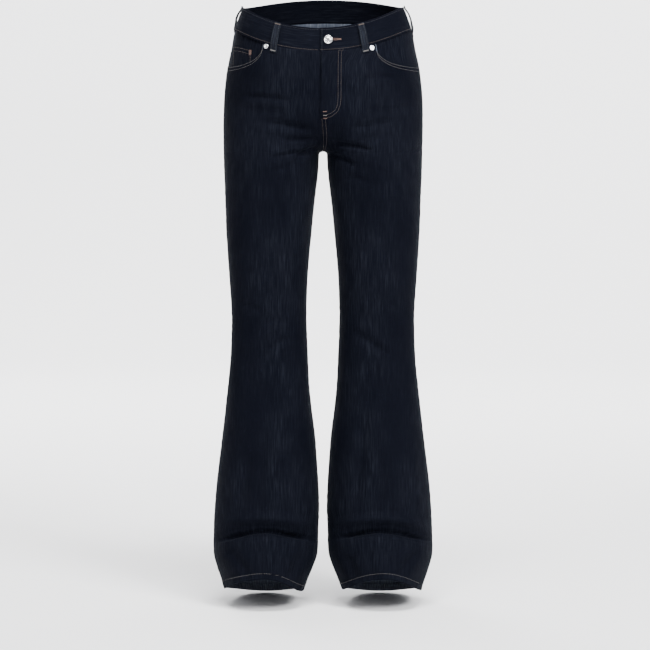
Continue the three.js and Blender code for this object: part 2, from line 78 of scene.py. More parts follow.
# Half of the jeans by height above the floor, in millimetres: edges as seen from the front, deepest
# front and back, and the depth at which the side seam and the inseam run.
SECTION_COLUMNS = ("height", "outer", "inner", "front", "back", "side", "inseam")
SECTIONS = (
    (1091, 146, 0, -94, 98, 2, 5),
    (1049, 161, 0, -102, 110, 4, 5),
    (1012, 168, 0, -108, 120, 6, 5),
    (975, 175.5, 0, -111, 129, 8, 5),
    (931, 180, 0, -110, 135, 8, 5),
    (887, 181.5, 0, -106, 131, 6, 5),
    (843, 181, 6.5, -101, 119, 3, 5),
    (798, 180, 9, -97, 104, 0, 4),
    (732, 177.5, 16.5, -90, 91, -3, 2),
    (666, 175, 23, -84, 80, -5, 0),
    (600, 170.5, 28.5, -77, 70, -6, -2),
    (534, 166.5, 30.5, -67, 59, -6, -3),
    (489, 167, 29.5, -62, 58, -4, -2),
    (445, 169.5, 27.5, -60, 63, 0, 1),
    (401, 174, 25.5, -62, 71, 3, 4),
    (357, 179, 21, -67, 79, 5, 6),
    (313, 184, 15.5, -73, 86, 6, 7),
    (269, 189.5, 12, -79, 92, 6, 7),
    (224, 195, 9, -85, 97, 5, 6),
    (180, 198.5, 7.5, -89, 101, 3, 4),
    (136, 200.5, 9, -90, 104, 0, 0),
    (92, 200.5, 11, -106, 108, -3, -3),
    (70, 195, 18.5, -114, 110, -5, -5),
    (48, 187.5, 27.5, -120, 112, -6, -6),
    (27, 180.5, 35, -125, 114, -6, -6),
)

L, R, F, B = Side.LEFT, Side.RIGHT, Face.FRONT, Face.BACK


class Fold(NamedTuple):
    """A fold of the cloth, in millimetres.

    Attributes:
        leg: The half that it is on.
        face: Front or back.
        x0: Distance of its first end from the centre line.
        z0: Height of its first end.
        x1: Distance of its second end from the centre line.
        z1: Height of its second end.
        bow: How far its middle is lifted over the straight line.
        half: Half its width.
        deep: How far it stands out, or in if negative.
    """

    leg: Side
    face: Face
    x0: float
    z0: float
    x1: float
    z1: float
    bow: float
    half: float
    deep: float


FOLDS = tuple(Fold(*row) for row in (
    # Lips above the hems' breaks and the hollows that run down from them
    (R, F, 200, 147, 8, 145, 24, 15, 7),
    (R, F, 196, 122, 90, 141, 6, 9, -5),
    (R, F, 108, 141, 14, 124, 6, 9, -5),
    (L, F, 200, 143, 10, 147, 24, 14, 7),
    (L, F, 196, 119, 88, 141, 6, 9, -5),
    (L, F, 108, 141, 24, 127, 5, 9, -5),
    (R, F, 96, 150, 100, 62, 0, 12, 3),
    (L, F, 94, 150, 100, 62, 0, 14, 2.5),
    (R, F, 176, 112, 130, 54, 6, 14, -4),
    (L, F, 178, 112, 134, 52, 6, 14, -4),
    (R, F, 28, 108, 62, 52, 5, 13, -3.5),
    (L, F, 30, 106, 64, 52, 5, 13, -3.5),
    # Long folds of the flares
    (R, F, 86, 350, 104, 165, 0, 18, 4),
    (R, F, 128, 300, 150, 170, 4, 20, -4.5),
    (L, F, 76, 380, 58, 165, 0, 18, -5),
    (L, F, 112, 340, 126, 165, 0, 20, 4),
    (L, F, 160, 300, 176, 165, 0, 14, 2),
    # Knees
    (R, F, 122, 449, 56, 497, 3, 14, -3.5),
    (L, F, 44, 511, 124, 455, 3, 15, -3.5),
    (R, F, 160, 560, 96, 528, 4, 10, -1.6),
    (L, F, 160, 520, 110, 560, 4, 10, -1.6),
    # Creases that run out from the crotch
    (R, F, 116, 884, 14, 866, 4, 8, -7.5),
    (R, F, 76, 851, 4, 850, 2, 7, -6),
    (R, F, 56, 806, 8, 838, 5, 7, -4.6),
    (L, F, 8, 846, 98, 829, 3, 8, -7),
    (L, F, 40, 873, 138, 890, -3, 8, -5.6),
    (L, F, 8, 827, 64, 800, 2, 7, -4.6),
    # Backs, from the seat down to the hems
    (R, B, 20, 830, 120, 800, 4, 10, -3.5),
    (L, B, 20, 828, 124, 797, 4, 10, -3.5),
    (R, B, 36, 782, 140, 768, 6, 11, -2.6),
    (L, B, 34, 788, 134, 762, 6, 11, -2.6),
    (R, B, 40, 520, 150, 538, 5, 10, -3.5),
    (L, B, 42, 526, 154, 534, 5, 10, -3.5),
    (R, B, 46, 488, 156, 470, -5, 11, -3),
    (L, B, 44, 492, 150, 474, -5, 11, -3),
    (R, B, 60, 380, 70, 120, 0, 18, 3),
    (L, B, 64, 370, 58, 120, 0, 18, 3),
    (R, B, 120, 360, 150, 120, 0, 18, -3),
    (L, B, 122, 350, 146, 120, 0, 18, -3),
    (R, B, 182, 92, 30, 78, 8, 12, -6),
    (L, B, 184, 88, 30, 84, 8, 12, -6),
    (R, B, 176, 116, 40, 104, 8, 11, 3.5),
    (L, B, 178, 112, 36, 110, 8, 11, 3.5),
    # Breaks above the hems: a wide hollow with a sharp crease in it
    (R, F, 204, 117, 4, 115, 34, 12, -6),
    (R, F, 204, 114, 4, 112, 34, 5.5, -8),
    (L, F, 210, 115, 10, 123, 31, 12, -6),
    (L, F, 210, 112, 10, 120, 31, 5.5, -8),
    # Lesser folds and creases
    (R, F, 102, 130, 100, 70, 0, 9, 2),
    (L, F, 96, 130, 100, 74, 0, 9, 1.6),
    (R, F, 104, 815, 12, 829, 4, 8, -4.4),
    (R, F, 150, 928, 54, 920, 3, 9, -4.2),
    (L, F, 62, 956, 134, 962, 3, 10, -3),
    (R, F, 150, 118, 176, 92, 3, 7, -2),
    (L, F, 60, 116, 44, 88, -3, 7, -2),
    (R, F, 124, 870, 40, 858, 3, 8, 2.6),
    (L, F, 60, 858, 130, 868, 3, 8, 2.4),
    (R, F, 150, 905, 60, 897, 3, 8, -3.2),
    (L, F, 70, 900, 160, 912, -2, 8, -3.2),
    (R, F, 100, 790, 30, 806, 4, 9, -1.8),
    (L, F, 34, 786, 96, 768, 3, 9, -1.8),
    (R, F, 70, 700, 60, 560, 3, 12, 1.6),
    (L, F, 130, 720, 120, 580, -3, 12, 1.6),
    (R, F, 112, 468, 68, 520, 2, 12, -1.8),
    (L, F, 60, 494, 108, 466, 2, 12, -1.8),
    (R, B, 60, 860, 150, 846, 4, 10, -2.4),
    (L, B, 56, 862, 146, 842, 4, 10, -2.4),
    (R, B, 60, 700, 140, 690, 5, 12, -1.6),
    (L, B, 66, 690, 150, 700, 4, 12, -1.6),
))


def ease(start: float, end: float, value: Array) -> Array:
    """Smooth step from 0 at start to 1 at end.

    Args:
        start: Where the step begins.
        end: Where it ends; may be below start.
        value: Where it is read.

    Returns:
        The step's height at each value.
    """
    t = np.clip((np.asarray(value, float) - start) / (end - start), 0, 1)
    return t * t * (3 - 2 * t)


def mix(a: Array, b: Array, t: Array) -> Array:
    """Blend from a (t = 0) to b (t = 1)."""
    return a + (b - a) * t


@dataclass(frozen=True)
class WornShape:
    """The outer face of the worn jeans, as a function of height and of the angle round one half.

    The angle runs from the centre front or inseam (0) over the front to the side seam (pi) and over the
    back to the centre back or inseam (2 pi). Sizes are in millimetres, heights above the floor. The powers
    say how sharply the waist dips and the hems arch, in the outer and the inner half of each leg. The
    probe steps measure directions, and the rounds and halvings find a place on the form.
    """

    hold_height: float = 1066
    waist_seam: float = 1049
    band_top: float = 1091
    crotch: float = 830
    fly_bottom: float = 912
    hem_edge: float = 27
    hem_top: float = 40
    waist_dip: float = -40
    waist_rise: float = 18
    waist_tilt_start: float = 905
    waist_power: float = 2.4
    hem_arch: float = 36
    hem_drop: float = -24
    hem_tilt_start: float = 215
    arch_powers_right: tuple[float, float] = (1.0, 2.5)
    arch_powers_left: tuple[float, float] = (1.9, 1.6)
    drop_power: float = 1.2
    rise_curve: float = 80
    blend: float = 60
    blend_reach: float = 0.42
    blend_depth: float = 0.5
    crotch_corner: float = 5
    crotch_reach: float = 0.25
    fullness: float = 0.13
    hip_turn: float = 0.05
    half_gap: float = 0.01
    probe_rise: float = 0.8
    probe_turn: float = 0.01
    fold_end: float = 0.3
    over_centre: float = 0.4
    halvings: int = 40
    rounds: int = 12

    def column(self, name: str, height: Array) -> Array:
        """A smooth curve through one column of the sections.

        Args:
            name: The column.
            height: Heights at which it is read.

        Returns:
            The column's value at each height.
        """
        rows = np.array(SECTIONS, float)[::-1]
        level, value = rows[:, 0], rows[:, SECTION_COLUMNS.index(name)]
        slope = np.empty(len(value))
        slope[1:-1] = (value[2:] - value[:-2]) / (level[2:] - level[:-2])
        slope[0] = (value[1] - value[0]) / (level[1] - level[0])
        slope[-1] = (value[-1] - value[-2]) / (level[-1] - level[-2])
        i = np.clip(np.searchsorted(level, height, side="right") - 1, 0, len(level) - 2)
        span = level[i + 1] - level[i]
        t = np.clip((height - level[i]) / span, 0, 1)
        s = 1 - t
        return ((1 + 2 * t) * s * s * value[i] + t * s * s * span * slope[i]
                + t * t * (1 + 2 * s) * value[i + 1] - t * t * s * span * slope[i + 1])

    def from_seam(self, angle: Array) -> Array:
        """The angle between a place and the inseam or centre line."""
        return np.minimum(np.abs(angle), np.abs(2 * math.pi - angle))

    def tilt(self, side: Side, height: Array, angle: Array) -> Array:
        """How far the line of equal height is moved up, for the sloping waist and the arched hem."""
        round_ = np.cos(angle / 2)
        waist = np.where(round_ > 0, self.waist_dip, self.waist_rise) * np.abs(round_) ** self.waist_power
        waist = waist * ease(self.waist_tilt_start, self.waist_seam, height)
        outer, inner = self.arch_powers_right if side is Side.RIGHT else self.arch_powers_left
        across = np.sin(angle)
        power = np.where(across > 0, mix(inner, outer, (1 - np.cos(angle)) / 2), self.drop_power)
        low = ease(self.hem_tilt_start, self.hem_edge, height)
        return waist + np.where(across > 0, self.hem_arch, self.hem_drop) * np.abs(across) ** power * low

    def section(self, height: Array, angle: Array) -> tuple[Array, Array]:
        """A point of one half's section, before the hips are turned.

        Args:
            height: Heights above the floor.
            angle: Angles round the half.

        Returns:
            The distance from the centre line and the depth.
        """
        outer, inner, front, back, seam, inseam = (
            self.column(name, height) for name in SECTION_COLUMNS[1:])
        across = (1 - np.cos(angle)) / 2
        drop = 1 - np.clip((self.crotch - height) / self.crotch_corner, 0, 1)
        closed = 1 - np.sqrt(1 - drop * drop)
        near = self.from_seam(angle)
        pinch = inner * closed * np.exp(-((near / self.crotch_reach) ** 2))
        deep = np.where(np.sin(angle) > 0, front, back)
        leg_x = mix(inner, outer, across) - pinch
        leg_y = mix(inseam, seam, across) + (deep - (inseam + seam) / 2) * np.abs(np.sin(angle)) * (
            1 + self.fullness * np.cos(angle) ** 2)
        sine, cosine = np.sin(angle / 2), np.cos(angle / 2)
        torso_x = outer * sine * (1 + self.fullness * cosine ** 2)
        torso_y = seam * sine ** 2 + np.where(cosine > 0, front, -back) * cosine
        t = 1 - np.clip((height - self.crotch) / self.rise_curve, 0, 1)
        along = np.sqrt(1 - t * t)
        away = ease(self.crotch - self.blend, self.crotch + self.blend + self.rise_curve / 4, height)
        close = np.exp(-((near / self.blend_reach) ** 2))
        w = mix(away, along, close)
        depth = 1 + self.blend_depth * away * (1 - away) * (1 - close)
        return mix(leg_x, torso_x, w) + self.half_gap, mix(leg_y, torso_y, w) * depth

    def smooth(self, side: Side, height: Array, angle: Array) -> Array:
        """Points of the face without its folds, in millimetres, with heights above the floor."""
        height, angle = np.broadcast_arrays(np.asarray(height, float), np.asarray(angle, float))
        across, y = self.section(height, angle)
        x = side.value * across
        turn = self.hip_turn * ease(self.crotch, self.fly_bottom, height)
        return np.stack((x * np.cos(turn) + y * np.sin(turn), y * np.cos(turn) - x * np.sin(turn),
                         height + self.tilt(side, height, angle)), -1)

    def normal(self, surface: Callable[[Side, Array, Array], Array], side: Side, height: Array,
               angle: Array) -> Array:
        """Unit normals, pointing out, of a surface given as a function of height and angle."""
        rise, turn = self.probe_rise, self.probe_turn
        up = surface(side, height + rise, angle) - surface(side, height - rise, angle)
        along = surface(side, height, angle + turn) - surface(side, height, angle - turn)
        out = np.cross(along, up) * side.value
        return out / np.linalg.norm(out, axis=-1, keepdims=True)

    def fold_depth(self, side: Side, angle: Array, points: Array) -> Array:
        """How far the folds move the cloth out.

        Args:
            side: The half.
            angle: Angles of the points.
            points: The points before folding.

        Returns:
            The distance out at each point.
        """
        front = (angle > 0) & (angle < math.pi)
        x, z = side.value * points[..., 0], points[..., 2]
        depth = np.zeros(x.shape)
        for fold in FOLDS:
            if fold.leg is not side:
                continue
            dx, dz = fold.x1 - fold.x0, fold.z1 - fold.z0
            length = math.hypot(dx, dz)
            t = ((x - fold.x0) * dx + (z - fold.z0) * dz) / length ** 2
            side_on = ((z - fold.z0) * dx - (x - fold.x0) * dz) / length * (-1 if dx < 0 else 1)
            off = np.abs(side_on - fold.bow * 4 * t * (1 - t))
            here = (t > 0) & (t < 1) & (off < fold.half) & (front == (fold.face is Face.FRONT))
            ends = ease(0, self.fold_end, t) * ease(1, 1 - self.fold_end, t)
            swell = (1 + np.cos(math.pi * np.minimum(off / fold.half, 1))) / 2
            depth += np.where(here, fold.deep * ends * swell, 0)
        return depth

    def folded(self, side: Side, height: Array, angle: Array) -> Array:
        """Points of the folded face."""
        height, angle = np.broadcast_arrays(np.asarray(height, float), np.asarray(angle, float))
        points = self.smooth(side, height, angle)
        depth = self.fold_depth(side, angle, points)
        return points + depth[..., None] * self.normal(self.smooth, side, height, angle)

    def cloth(self, side: Side, height: Array, angle: Array, out: Array | float = 0.0) -> Array:
        """Points of the folded face, moved out along its normal."""
        height, angle = np.broadcast_arrays(np.asarray(height, float), np.asarray(angle, float))
        shift = np.broadcast_to(np.asarray(out, float), height.shape)[..., None]
        return self.folded(side, height, angle) + shift * self.normal(self.folded, side, height, angle)

    def ring(self, _: Side, height: Array, round_: Array) -> Array:
        """The torso all round, by its angle from the centre front, positive to the wearer's left."""
        height, round_ = np.broadcast_arrays(np.asarray(height, float), np.asarray(round_, float))
        turn = np.arctan2(np.sin(round_), np.cos(round_))
        left = self.smooth(Side.LEFT, height, 2 * np.abs(turn))
        right = self.smooth(Side.RIGHT, height, 2 * np.abs(turn))
        points = np.where((turn < 0)[..., None], right, left)
        points[..., 0] -= np.where(turn < 0, -1, 1) * self.half_gap
        return points

    def locate(self, side: Side, face: Face, x: Array, z: Array) -> tuple[Array, Array]:
        """The height and angle of the cloth at a distance from the centre line and a height.

        Args:
            side: The half.
            face: Front or back.
            x: Distances from the centre line.
            z: Heights above the floor, as points.

        Returns:
            The heights and the angles.
        """
        x, z = np.broadcast_arrays(np.asarray(x, float), np.asarray(z, float))
        height, angle = z.copy(), np.full(z.shape, math.pi / 2)
        for _ in range(self.rounds):
            low = np.full(z.shape, -self.over_centre if face is Face.FRONT else 2 * math.pi)
            high = np.full(z.shape, math.pi)
            for _ in range(self.halvings):
                middle = (low + high) / 2
                below = self.section(height, middle)[0] < x
                low, high = np.where(below, middle, low), np.where(below, high, middle)
            angle = (low + high) / 2
            height = z - self.tilt(side, height, angle)
        return height, angle

    def seam_angle(self, side: Side, height: Array, angle: float) -> Array:
        """Half a seam gap as an angle."""
        step = 2 * self.probe_turn
        run = np.linalg.norm(self.smooth(side, height, angle + step)
                             - self.smooth(side, height, np.full(np.shape(height), angle)), axis=-1)
        return self.half_gap * step / run

    def metres(self, points: Array) -> Array:
        """Points in metres in the part's frame."""
        return (points - np.array((0, 0, self.hold_height))) * MM


SHAPE = WornShape()


@dataclass(frozen=True)
class Ripple:
    """Small unevenness of worn cloth, as a sum of long waves with fixed phases.

    Attributes:
        seed: Chooses the waves.
        amplitude: Height of the sum, in millimetres.
        wavelength: Typical wave, in millimetres.
        count: Number of waves.
    """

    seed: int
    amplitude: float
    wavelength: float
    count: int = 14

    def at(self, u: Array, v: Array) -> Array:
        """The height of the waves at places on the cloth, in millimetres.

        Args:
            u: Distances across the cloth.
            v: Distances along it.

        Returns:
            The heights.
        """
        rng = np.random.default_rng(self.seed)
        total = np.zeros(np.broadcast(u, v).shape)
        for _ in range(self.count):
            heading = rng.uniform(0, math.tau)
            wave = self.wavelength * rng.uniform(0.6, 1.8)
            phase = rng.uniform(0, math.tau)
            forward = u * math.cos(heading) + v * math.sin(heading)
            total = total + np.sin(forward * math.tau / wave + phase)
        return total * self.amplitude / math.sqrt(self.count)


@dataclass
class Recipe:
    """Writes the nodes of one material.

    Attributes:
        name: Name of the material.
        made: The material.
    """

    name: str
    made: bpy.types.Material = field(init=False)

    def __post_init__(self) -> None:
        """Starts the material with its shader."""
        self.made = bpy.data.materials.new(self.name)
        self.made.use_nodes = True

    def fill(self, node: bpy.types.Node, values: dict) -> None:
        """Sets a node's inputs.

        Args:
            node: The node.
            values: For each input, by name or number, its value or the socket that feeds it.
        """
        for key, value in values.items():
            if isinstance(value, bpy.types.NodeSocket):
                self.made.node_tree.links.new(value, node.inputs[key])
            else:
                node.inputs[key].default_value = value

    def add(self, kind: str, values: dict, **settings: str) -> bpy.types.Node:
        """Adds a node.

        Args:
            kind: Its type, without the first word.
            values: Its inputs, as for fill.
            settings: Its own settings, made before its inputs are filled.

        Returns:
            The node.
        """
        node = self.made.node_tree.nodes.new(f"ShaderNode{kind}")
        for key, value in settings.items():
            setattr(node, key, value)
        self.fill(node, values)
        return node

    def blend(self, first: Sequence[float] | bpy.types.NodeSocket, second: Triple,
              share: bpy.types.NodeSocket, way: str = "MIX") -> bpy.types.NodeSocket:
        """Two colours blended by a share.

        Args:
            first: The colour at 0, or its socket.
            second: The colour at 1.
            share: The share.
            way: How they are blended.

        Returns:
            The blended colour.
        """
        if not isinstance(first, bpy.types.NodeSocket):
            first = (*first, 1)
        both = self.add("Mix", {6: first, 7: (*second, 1), "Factor": share}, data_type="RGBA",
                        blend_type=way)
        return both.outputs[2]

    def shade(self, values: dict) -> bpy.types.Material:
        """Fills the shader and hands the material out."""
        self.fill(self.made.node_tree.nodes["Principled BSDF"], values)
        return self.made


@dataclass(frozen=True)
class Weave:
    """A woven finish that follows each piece's own grain, laid out in metres on its UV map.

    Attributes:
        name: Name of the material.
        colour: Colour of the dyed face.
        streak: Colour of the paler slubs that run along the warp.
        streak_amount: How strongly they show.
        sheen: Weight of the cloth's sheen.
        sheen_tint: Colour of the sheen.
        roughness: Surface roughness.
        twill: Height of the twill lines in the bump, in metres.
        fine: Cells per metre across and along the warp of the fine slubs, their octaves, the two values
            of the noise between which they rise, and how high.
        broad: The same of the broad slubs.
        patches: The same of the worn patches.
        spread: The same of the places where slubs show, without the last value.
        worn: What the patches multiply the colour by.
        twill_angle: Angle of the twill lines from the warp, in degrees.
        twill_cells: Scale of the twill lines on the UV map.
        twill_scale: Scale of their wave.
    """

    name: str
    colour: Triple
    streak: Triple
    streak_amount: float
    sheen: float
    sheen_tint: Triple
    roughness: float
    twill: float
    fine: tuple = (820, 24, 2, 0.42, 0.74, 1.0)
    broad: tuple = (240, 9, 2, 0.45, 0.8, 0.22)
    patches: tuple = (9, 6, 3, 0.35, 0.7, 1.0)
    spread: tuple = (11, 5, 2, 0.2, 0.7)
    worn: Triple = (0.8, 0.82, 0.86)
    twill_angle: float = 62
    twill_cells: float = 1100
    twill_scale: float = 0.16

    def material(self) -> bpy.types.Material:
        """Builds the material."""
        recipe = Recipe(self.name)
        cloth = recipe.add("UVMap", {}, uv_map="grain").outputs["UV"]

        def window(across: float, along: float, octaves: float, low: float, high: float,
                   top: float) -> bpy.types.NodeSocket:
            """The part of a noise between two values, scaled to run from 0 up.

            Args:
                across: Cells per metre across the warp.
                along: Cells per metre along it.
                octaves: Octaves of the noise.
                low: The value that becomes 0.
                high: The value that becomes the top.
                top: The top.

            Returns:
                The scaled value.
            """
            stretch = recipe.add("Mapping", {"Scale": (across, along, 1), "Vector": cloth})
            grain = recipe.add("TexNoise", {"Scale": 1, "Detail": octaves, "Roughness": 0.6,
                                            "Vector": stretch.outputs["Vector"]}, noise_dimensions="2D")
            ranged = recipe.add("MapRange", {"From Min": low, "From Max": high, "To Max": top,
                                             "Value": grain.outputs["Fac"]}, interpolation_type="SMOOTHSTEP")
            return ranged.outputs["Result"]

        def combine(operation: str, a: bpy.types.NodeSocket,
                    b: bpy.types.NodeSocket) -> bpy.types.NodeSocket:
            """Two values joined by one arithmetic operation."""
            return recipe.add("Math", {0: a, 1: b}, operation=operation).outputs[0]

        slubs = combine("MAXIMUM", window(*self.fine), window(*self.broad))
        shown = combine("MULTIPLY", slubs, window(*self.spread, self.streak_amount))
        dyed = recipe.blend(self.colour, self.streak, shown)
        toned = recipe.blend(dyed, self.worn, window(*self.patches), "MULTIPLY")
        turn = recipe.add("Mapping", {"Rotation": (0, 0, math.radians(self.twill_angle)),
                                      "Scale": (self.twill_cells, self.twill_cells, 1), "Vector": cloth})
        lines = recipe.add("TexWave", {"Scale": self.twill_scale, "Distortion": 1.2, "Detail": 1,
                                       "Vector": turn.outputs["Vector"]})
        bump = recipe.add("Bump", {"Strength": 0.6, "Distance": self.twill,
                                   "Height": combine("ADD", lines.outputs["Fac"], slubs)})
        return recipe.shade({"Base Color": toned, "Normal": bump.outputs["Normal"],
                             "Roughness": self.roughness, "Specular IOR Level": 0.02,
                             "Sheen Weight": self.sheen, "Sheen Roughness": 0.45,
                             "Sheen Tint": (*self.sheen_tint, 1)})


@dataclass(frozen=True)
class Plain:
    """A plain finish, such as polished metal, thread or a painted backdrop.

    Attributes:
        name: Name of the material.
        colour: Its colour.
        roughness: Surface roughness.
        metallic: 1 for metal.
        mottle: How far a fine noise darkens the colour.
        grain: Cells per metre of that noise.
        sheen: Weight of a soft sheen.
    """

    name: str
    colour: Triple
    roughness: float
    metallic: float = 0.0
    mottle: float = 0.15
    grain: float = 900.0
    sheen: float = 0.0

    def material(self) -> bpy.types.Material:
        """Builds the material."""
        recipe = Recipe(self.name)
        place = recipe.add("TexCoord", {}).outputs["Object"]
        noise = recipe.add("TexNoise", {"Scale": self.grain, "Detail": 3, "Vector": place})
        darker = tuple(c * (1 - self.mottle) for c in self.colour)
        return recipe.shade({"Base Color": recipe.blend(self.colour, darker, noise.outputs["Fac"]),
                             "Roughness": self.roughness, "Metallic": self.metallic,
                             "Sheen Weight": self.sheen})


THREADS = {"brown": (0.05, 0.034, 0.027), "rust": (0.075, 0.038, 0.028), "beige": (0.08, 0.074, 0.07),
           "grey": (0.08, 0.073, 0.069), "navy": (0.006, 0.007, 0.012)}


@dataclass
class Finishes:
    """All the finishes of the jeans and of the studio.

    Attributes:
        denim: The face of the cloth.
        rubbed: The paler face of the belt loops, partly rubbed wear and partly painted light for the light
            their bowed fronts catch.
        reverse: The inner face of the cloth.
        metal: Button and rivets.
        studio: Paper of the backdrop.
        threads: One finish for each sewing thread, by its name.
    """

    denim: bpy.types.Material = field(init=False)
    rubbed: bpy.types.Material = field(init=False)
    reverse: bpy.types.Material = field(init=False)
    metal: bpy.types.Material = field(init=False)
    studio: bpy.types.Material = field(init=False)
    threads: dict[str, bpy.types.Material] = field(init=False)

    def __post_init__(self) -> None:
        """Builds each material once."""
        self.denim = Weave("dark rinsed denim", (0.0019, 0.0023, 0.0045), (0.0128, 0.0148, 0.0208), 0.5,
                           0.01, (0.55, 0.65, 0.9), 0.86, 0.00026).material()
        # The belt loops' denim is paler than the band's, partly for rubbed wear and partly as painted light
        # for the light their bowed fronts catch.
        self.rubbed = Weave("rubbed dark denim", (0.0052, 0.006, 0.0088), (0.026, 0.03, 0.039), 0.6,
                            0.02, (0.55, 0.65, 0.9), 0.84, 0.0003).material()
        self.reverse = Weave("reverse of the denim", (0.035, 0.042, 0.058), (0.16, 0.17, 0.19), 0.6,
                             0.1, (0.8, 0.85, 1.0), 0.88, 0.00022).material()
        self.threads = {name: Plain(f"{name} sewing thread", colour, 0.8,
                                    sheen=0.02 if name == "navy" else 0.05).material()
                        for name, colour in THREADS.items()}
        self.metal = Plain("bright silvery metal", (0.72, 0.72, 0.73), 0.24, 1.0, 0.12, 260).material()
        self.studio = Plain("pale studio paper", (0.93, 0.93, 0.94), 0.95, mottle=0.01, grain=3).material()


@dataclass
class Places:
    """A grid of places on one half: rows from the bottom up, columns from the centre outwards.

    Attributes:
        side: The half.
        height: Heights, one per place.
        angle: Angles, one per place.
    """

    side: Side
    height: Array
    angle: Array


@dataclass
class ClothGrid:
    """The outer face of one cloth piece as a grid of points in millimetres, with what is sewn along it."""

    points: Array

    def runs(self, axis: int) -> Array:
        """Lengths along the rows (axis 1) or the columns (axis 0), from the first point."""
        step = np.linalg.norm(np.diff(self.points, axis=axis), axis=-1)
        start = np.zeros_like(np.take(step, [0], axis=axis))
        return np.cumsum(np.concatenate((start, step), axis), axis)

    def under(self, x: float, runs: Array) -> Array:
        """The length along each row at which it crosses a plumb line.

        Args:
            x: The line's distance from the centre line.
            runs: Lengths along the rows.

        Returns:
            One length a row.
        """
        found = []
        for line, run in zip(np.abs(self.points[..., 0]), runs):
            order = np.argsort(line)
            found.append(np.interp(x, line[order], run[order]))
        return np.array(found)

    def line_beside(self, axis: int, at_end: bool, distance: float,
                    keep: slice = slice(None)) -> Array:
        """A line on the cloth at a distance from one of its edges.

        Args:
            axis: 1 for a line beside the first or last column, 0 beside the first or last row.
            at_end: Whether the edge is the last one.
            distance: Distance from the edge, in millimetres.
            keep: Which rows or columns the line crosses.

        Returns:
            The points of the line.
        """
        runs = self.runs(axis)
        lines, lengths = self.points, runs
        if axis == 0:
            lines, lengths = lines.swapaxes(0, 1), lengths.T
        lines, lengths = lines[keep], lengths[keep]
        found = []
        for line, length in zip(lines, lengths):
            goal = length[-1] - distance if at_end else distance
            found.append([np.interp(goal, length, line[:, k]) for k in range(3)])
        return np.array(found)

    def tree(self) -> BVHTree:
        """A tree of the face's quads, for finding the nearest point on it."""
        rows, columns = self.points.shape[:2]
        index = np.arange(rows * columns).reshape(rows, columns)
        quads = np.stack((index[:-1, :-1], index[:-1, 1:], index[1:, 1:], index[1:, :-1]), -1)
        return BVHTree.FromPolygons(self.points.reshape(-1, 3).tolist(), quads.reshape(-1, 4).tolist())


@dataclass
class Tailor:
    """Makes the pieces' meshes and hangs each on the root body."""

    finishes: Finishes
    hard_edge: float = 50

    def finish_piece(self, bm: bmesh.types.BMesh, name: str, node: str | None, slot: Slot,
                     materials: Sequence[bpy.types.Material]) -> bpy.types.Object:
        """Turns a bmesh into a piece that rides on the part.

        Args:
            bm: The mesh; it is freed.
            name: Name of the piece.
            node: The solid that it stands for, or None.
            slot: Its material slot in the record; not used.
            materials: Its materials.

        Returns:
            The piece.
        """
        mesh = bpy.data.meshes.new(name)
        for polygon in bm.faces:
            polygon.smooth = True
        bm.to_mesh(mesh)
        bm.free()
        for material in materials:
            mesh.materials.append(material)
        piece = bpy.data.objects.new(name, mesh)
        bpy.context.scene.collection.objects.link(piece)
        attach(piece, "root")
        if node:
            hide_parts(node)
        log.info("%s: %d faces", name, len(mesh.polygons))
        return piece

    def shell(self, name: str, node: str | None, grid: ClothGrid, wall: float, flip: bool,
              bevel: float = 0.0, closed: bool = False, banded: bool = False,
              plumb: float = 0.0, face: bpy.types.Material | None = None) -> bpy.types.Object:
        """A cloth piece: a grid drawn over the worn form and given a thin wall.

        Args:
            name: Name of the piece.
            node: The solid that it stands for, or None.
            grid: The points of its outer face.
            wall: Its thickness, in millimetres.
            flip: Whether the grid runs against the outward side.
            bevel: Width of the rounding of its edges, in millimetres.
            closed: Whether the last column meets the first.
            banded: Whether it is a folded band, with its warp along it and its face on both sides.
            plumb: Distance from the centre line at which its warp hangs plumb, or 0 for its middle.
            face: The finish of its face, if it isn't the plain denim.

        Returns:
            The piece.
        """
        rows, columns = grid.points.shape[:2]
        bm = bmesh.new()
        bmesh.ops.create_grid(bm, x_segments=columns - 1, y_segments=rows - 1, size=0.5)
        u = grid.runs(1) - grid.runs(1)[:, columns // 2][:, None]
        v = np.broadcast_to(grid.runs(0)[:, columns // 2][:, None], u.shape)
        if plumb:
            u = u - grid.under(plumb, u)[:, None]
        if banded:
            u, v = v, np.broadcast_to(u.mean(0), u.shape)
        where = {}
        bm.verts.index_update()
        places = SHAPE.metres(grid.points)
        for vertex in bm.verts:
            i = round((vertex.co.y + 0.5) * (rows - 1))
            j = round((vertex.co.x + 0.5) * (columns - 1))
            where[vertex.index] = (i, j)
            vertex.co = places[i, j]
        grain = bm.loops.layers.uv.new("grain")
        for polygon in bm.faces:
            for loop in polygon.loops:
                i, j = where[loop.vert.index]
                loop[grain].uv = (u[i, j] * MM, v[i, j] * MM)
        if closed:
            bmesh.ops.remove_doubles(bm, verts=bm.verts, dist=1e-5)
        if flip:
            bmesh.ops.reverse_faces(bm, faces=bm.faces)
        within = self.finishes.denim if banded else self.finishes.reverse
        piece = self.finish_piece(bm, name, node, Slot.DENIM, (face or self.finishes.denim, within))
        thick = piece.modifiers.new("wall", "SOLIDIFY")
        thick.thickness = wall * MM
        thick.offset = -1
        thick.material_offset = 1
        thick.material_offset_rim = 0
        if bevel:
            round_edges = piece.modifiers.new("rounded edges", "BEVEL")
            round_edges.width = bevel * MM
            round_edges.segments = 2
            round_edges.limit_method = "ANGLE"
            round_edges.angle_limit = math.radians(self.hard_edge)
            round_edges.material = -1
        return piece


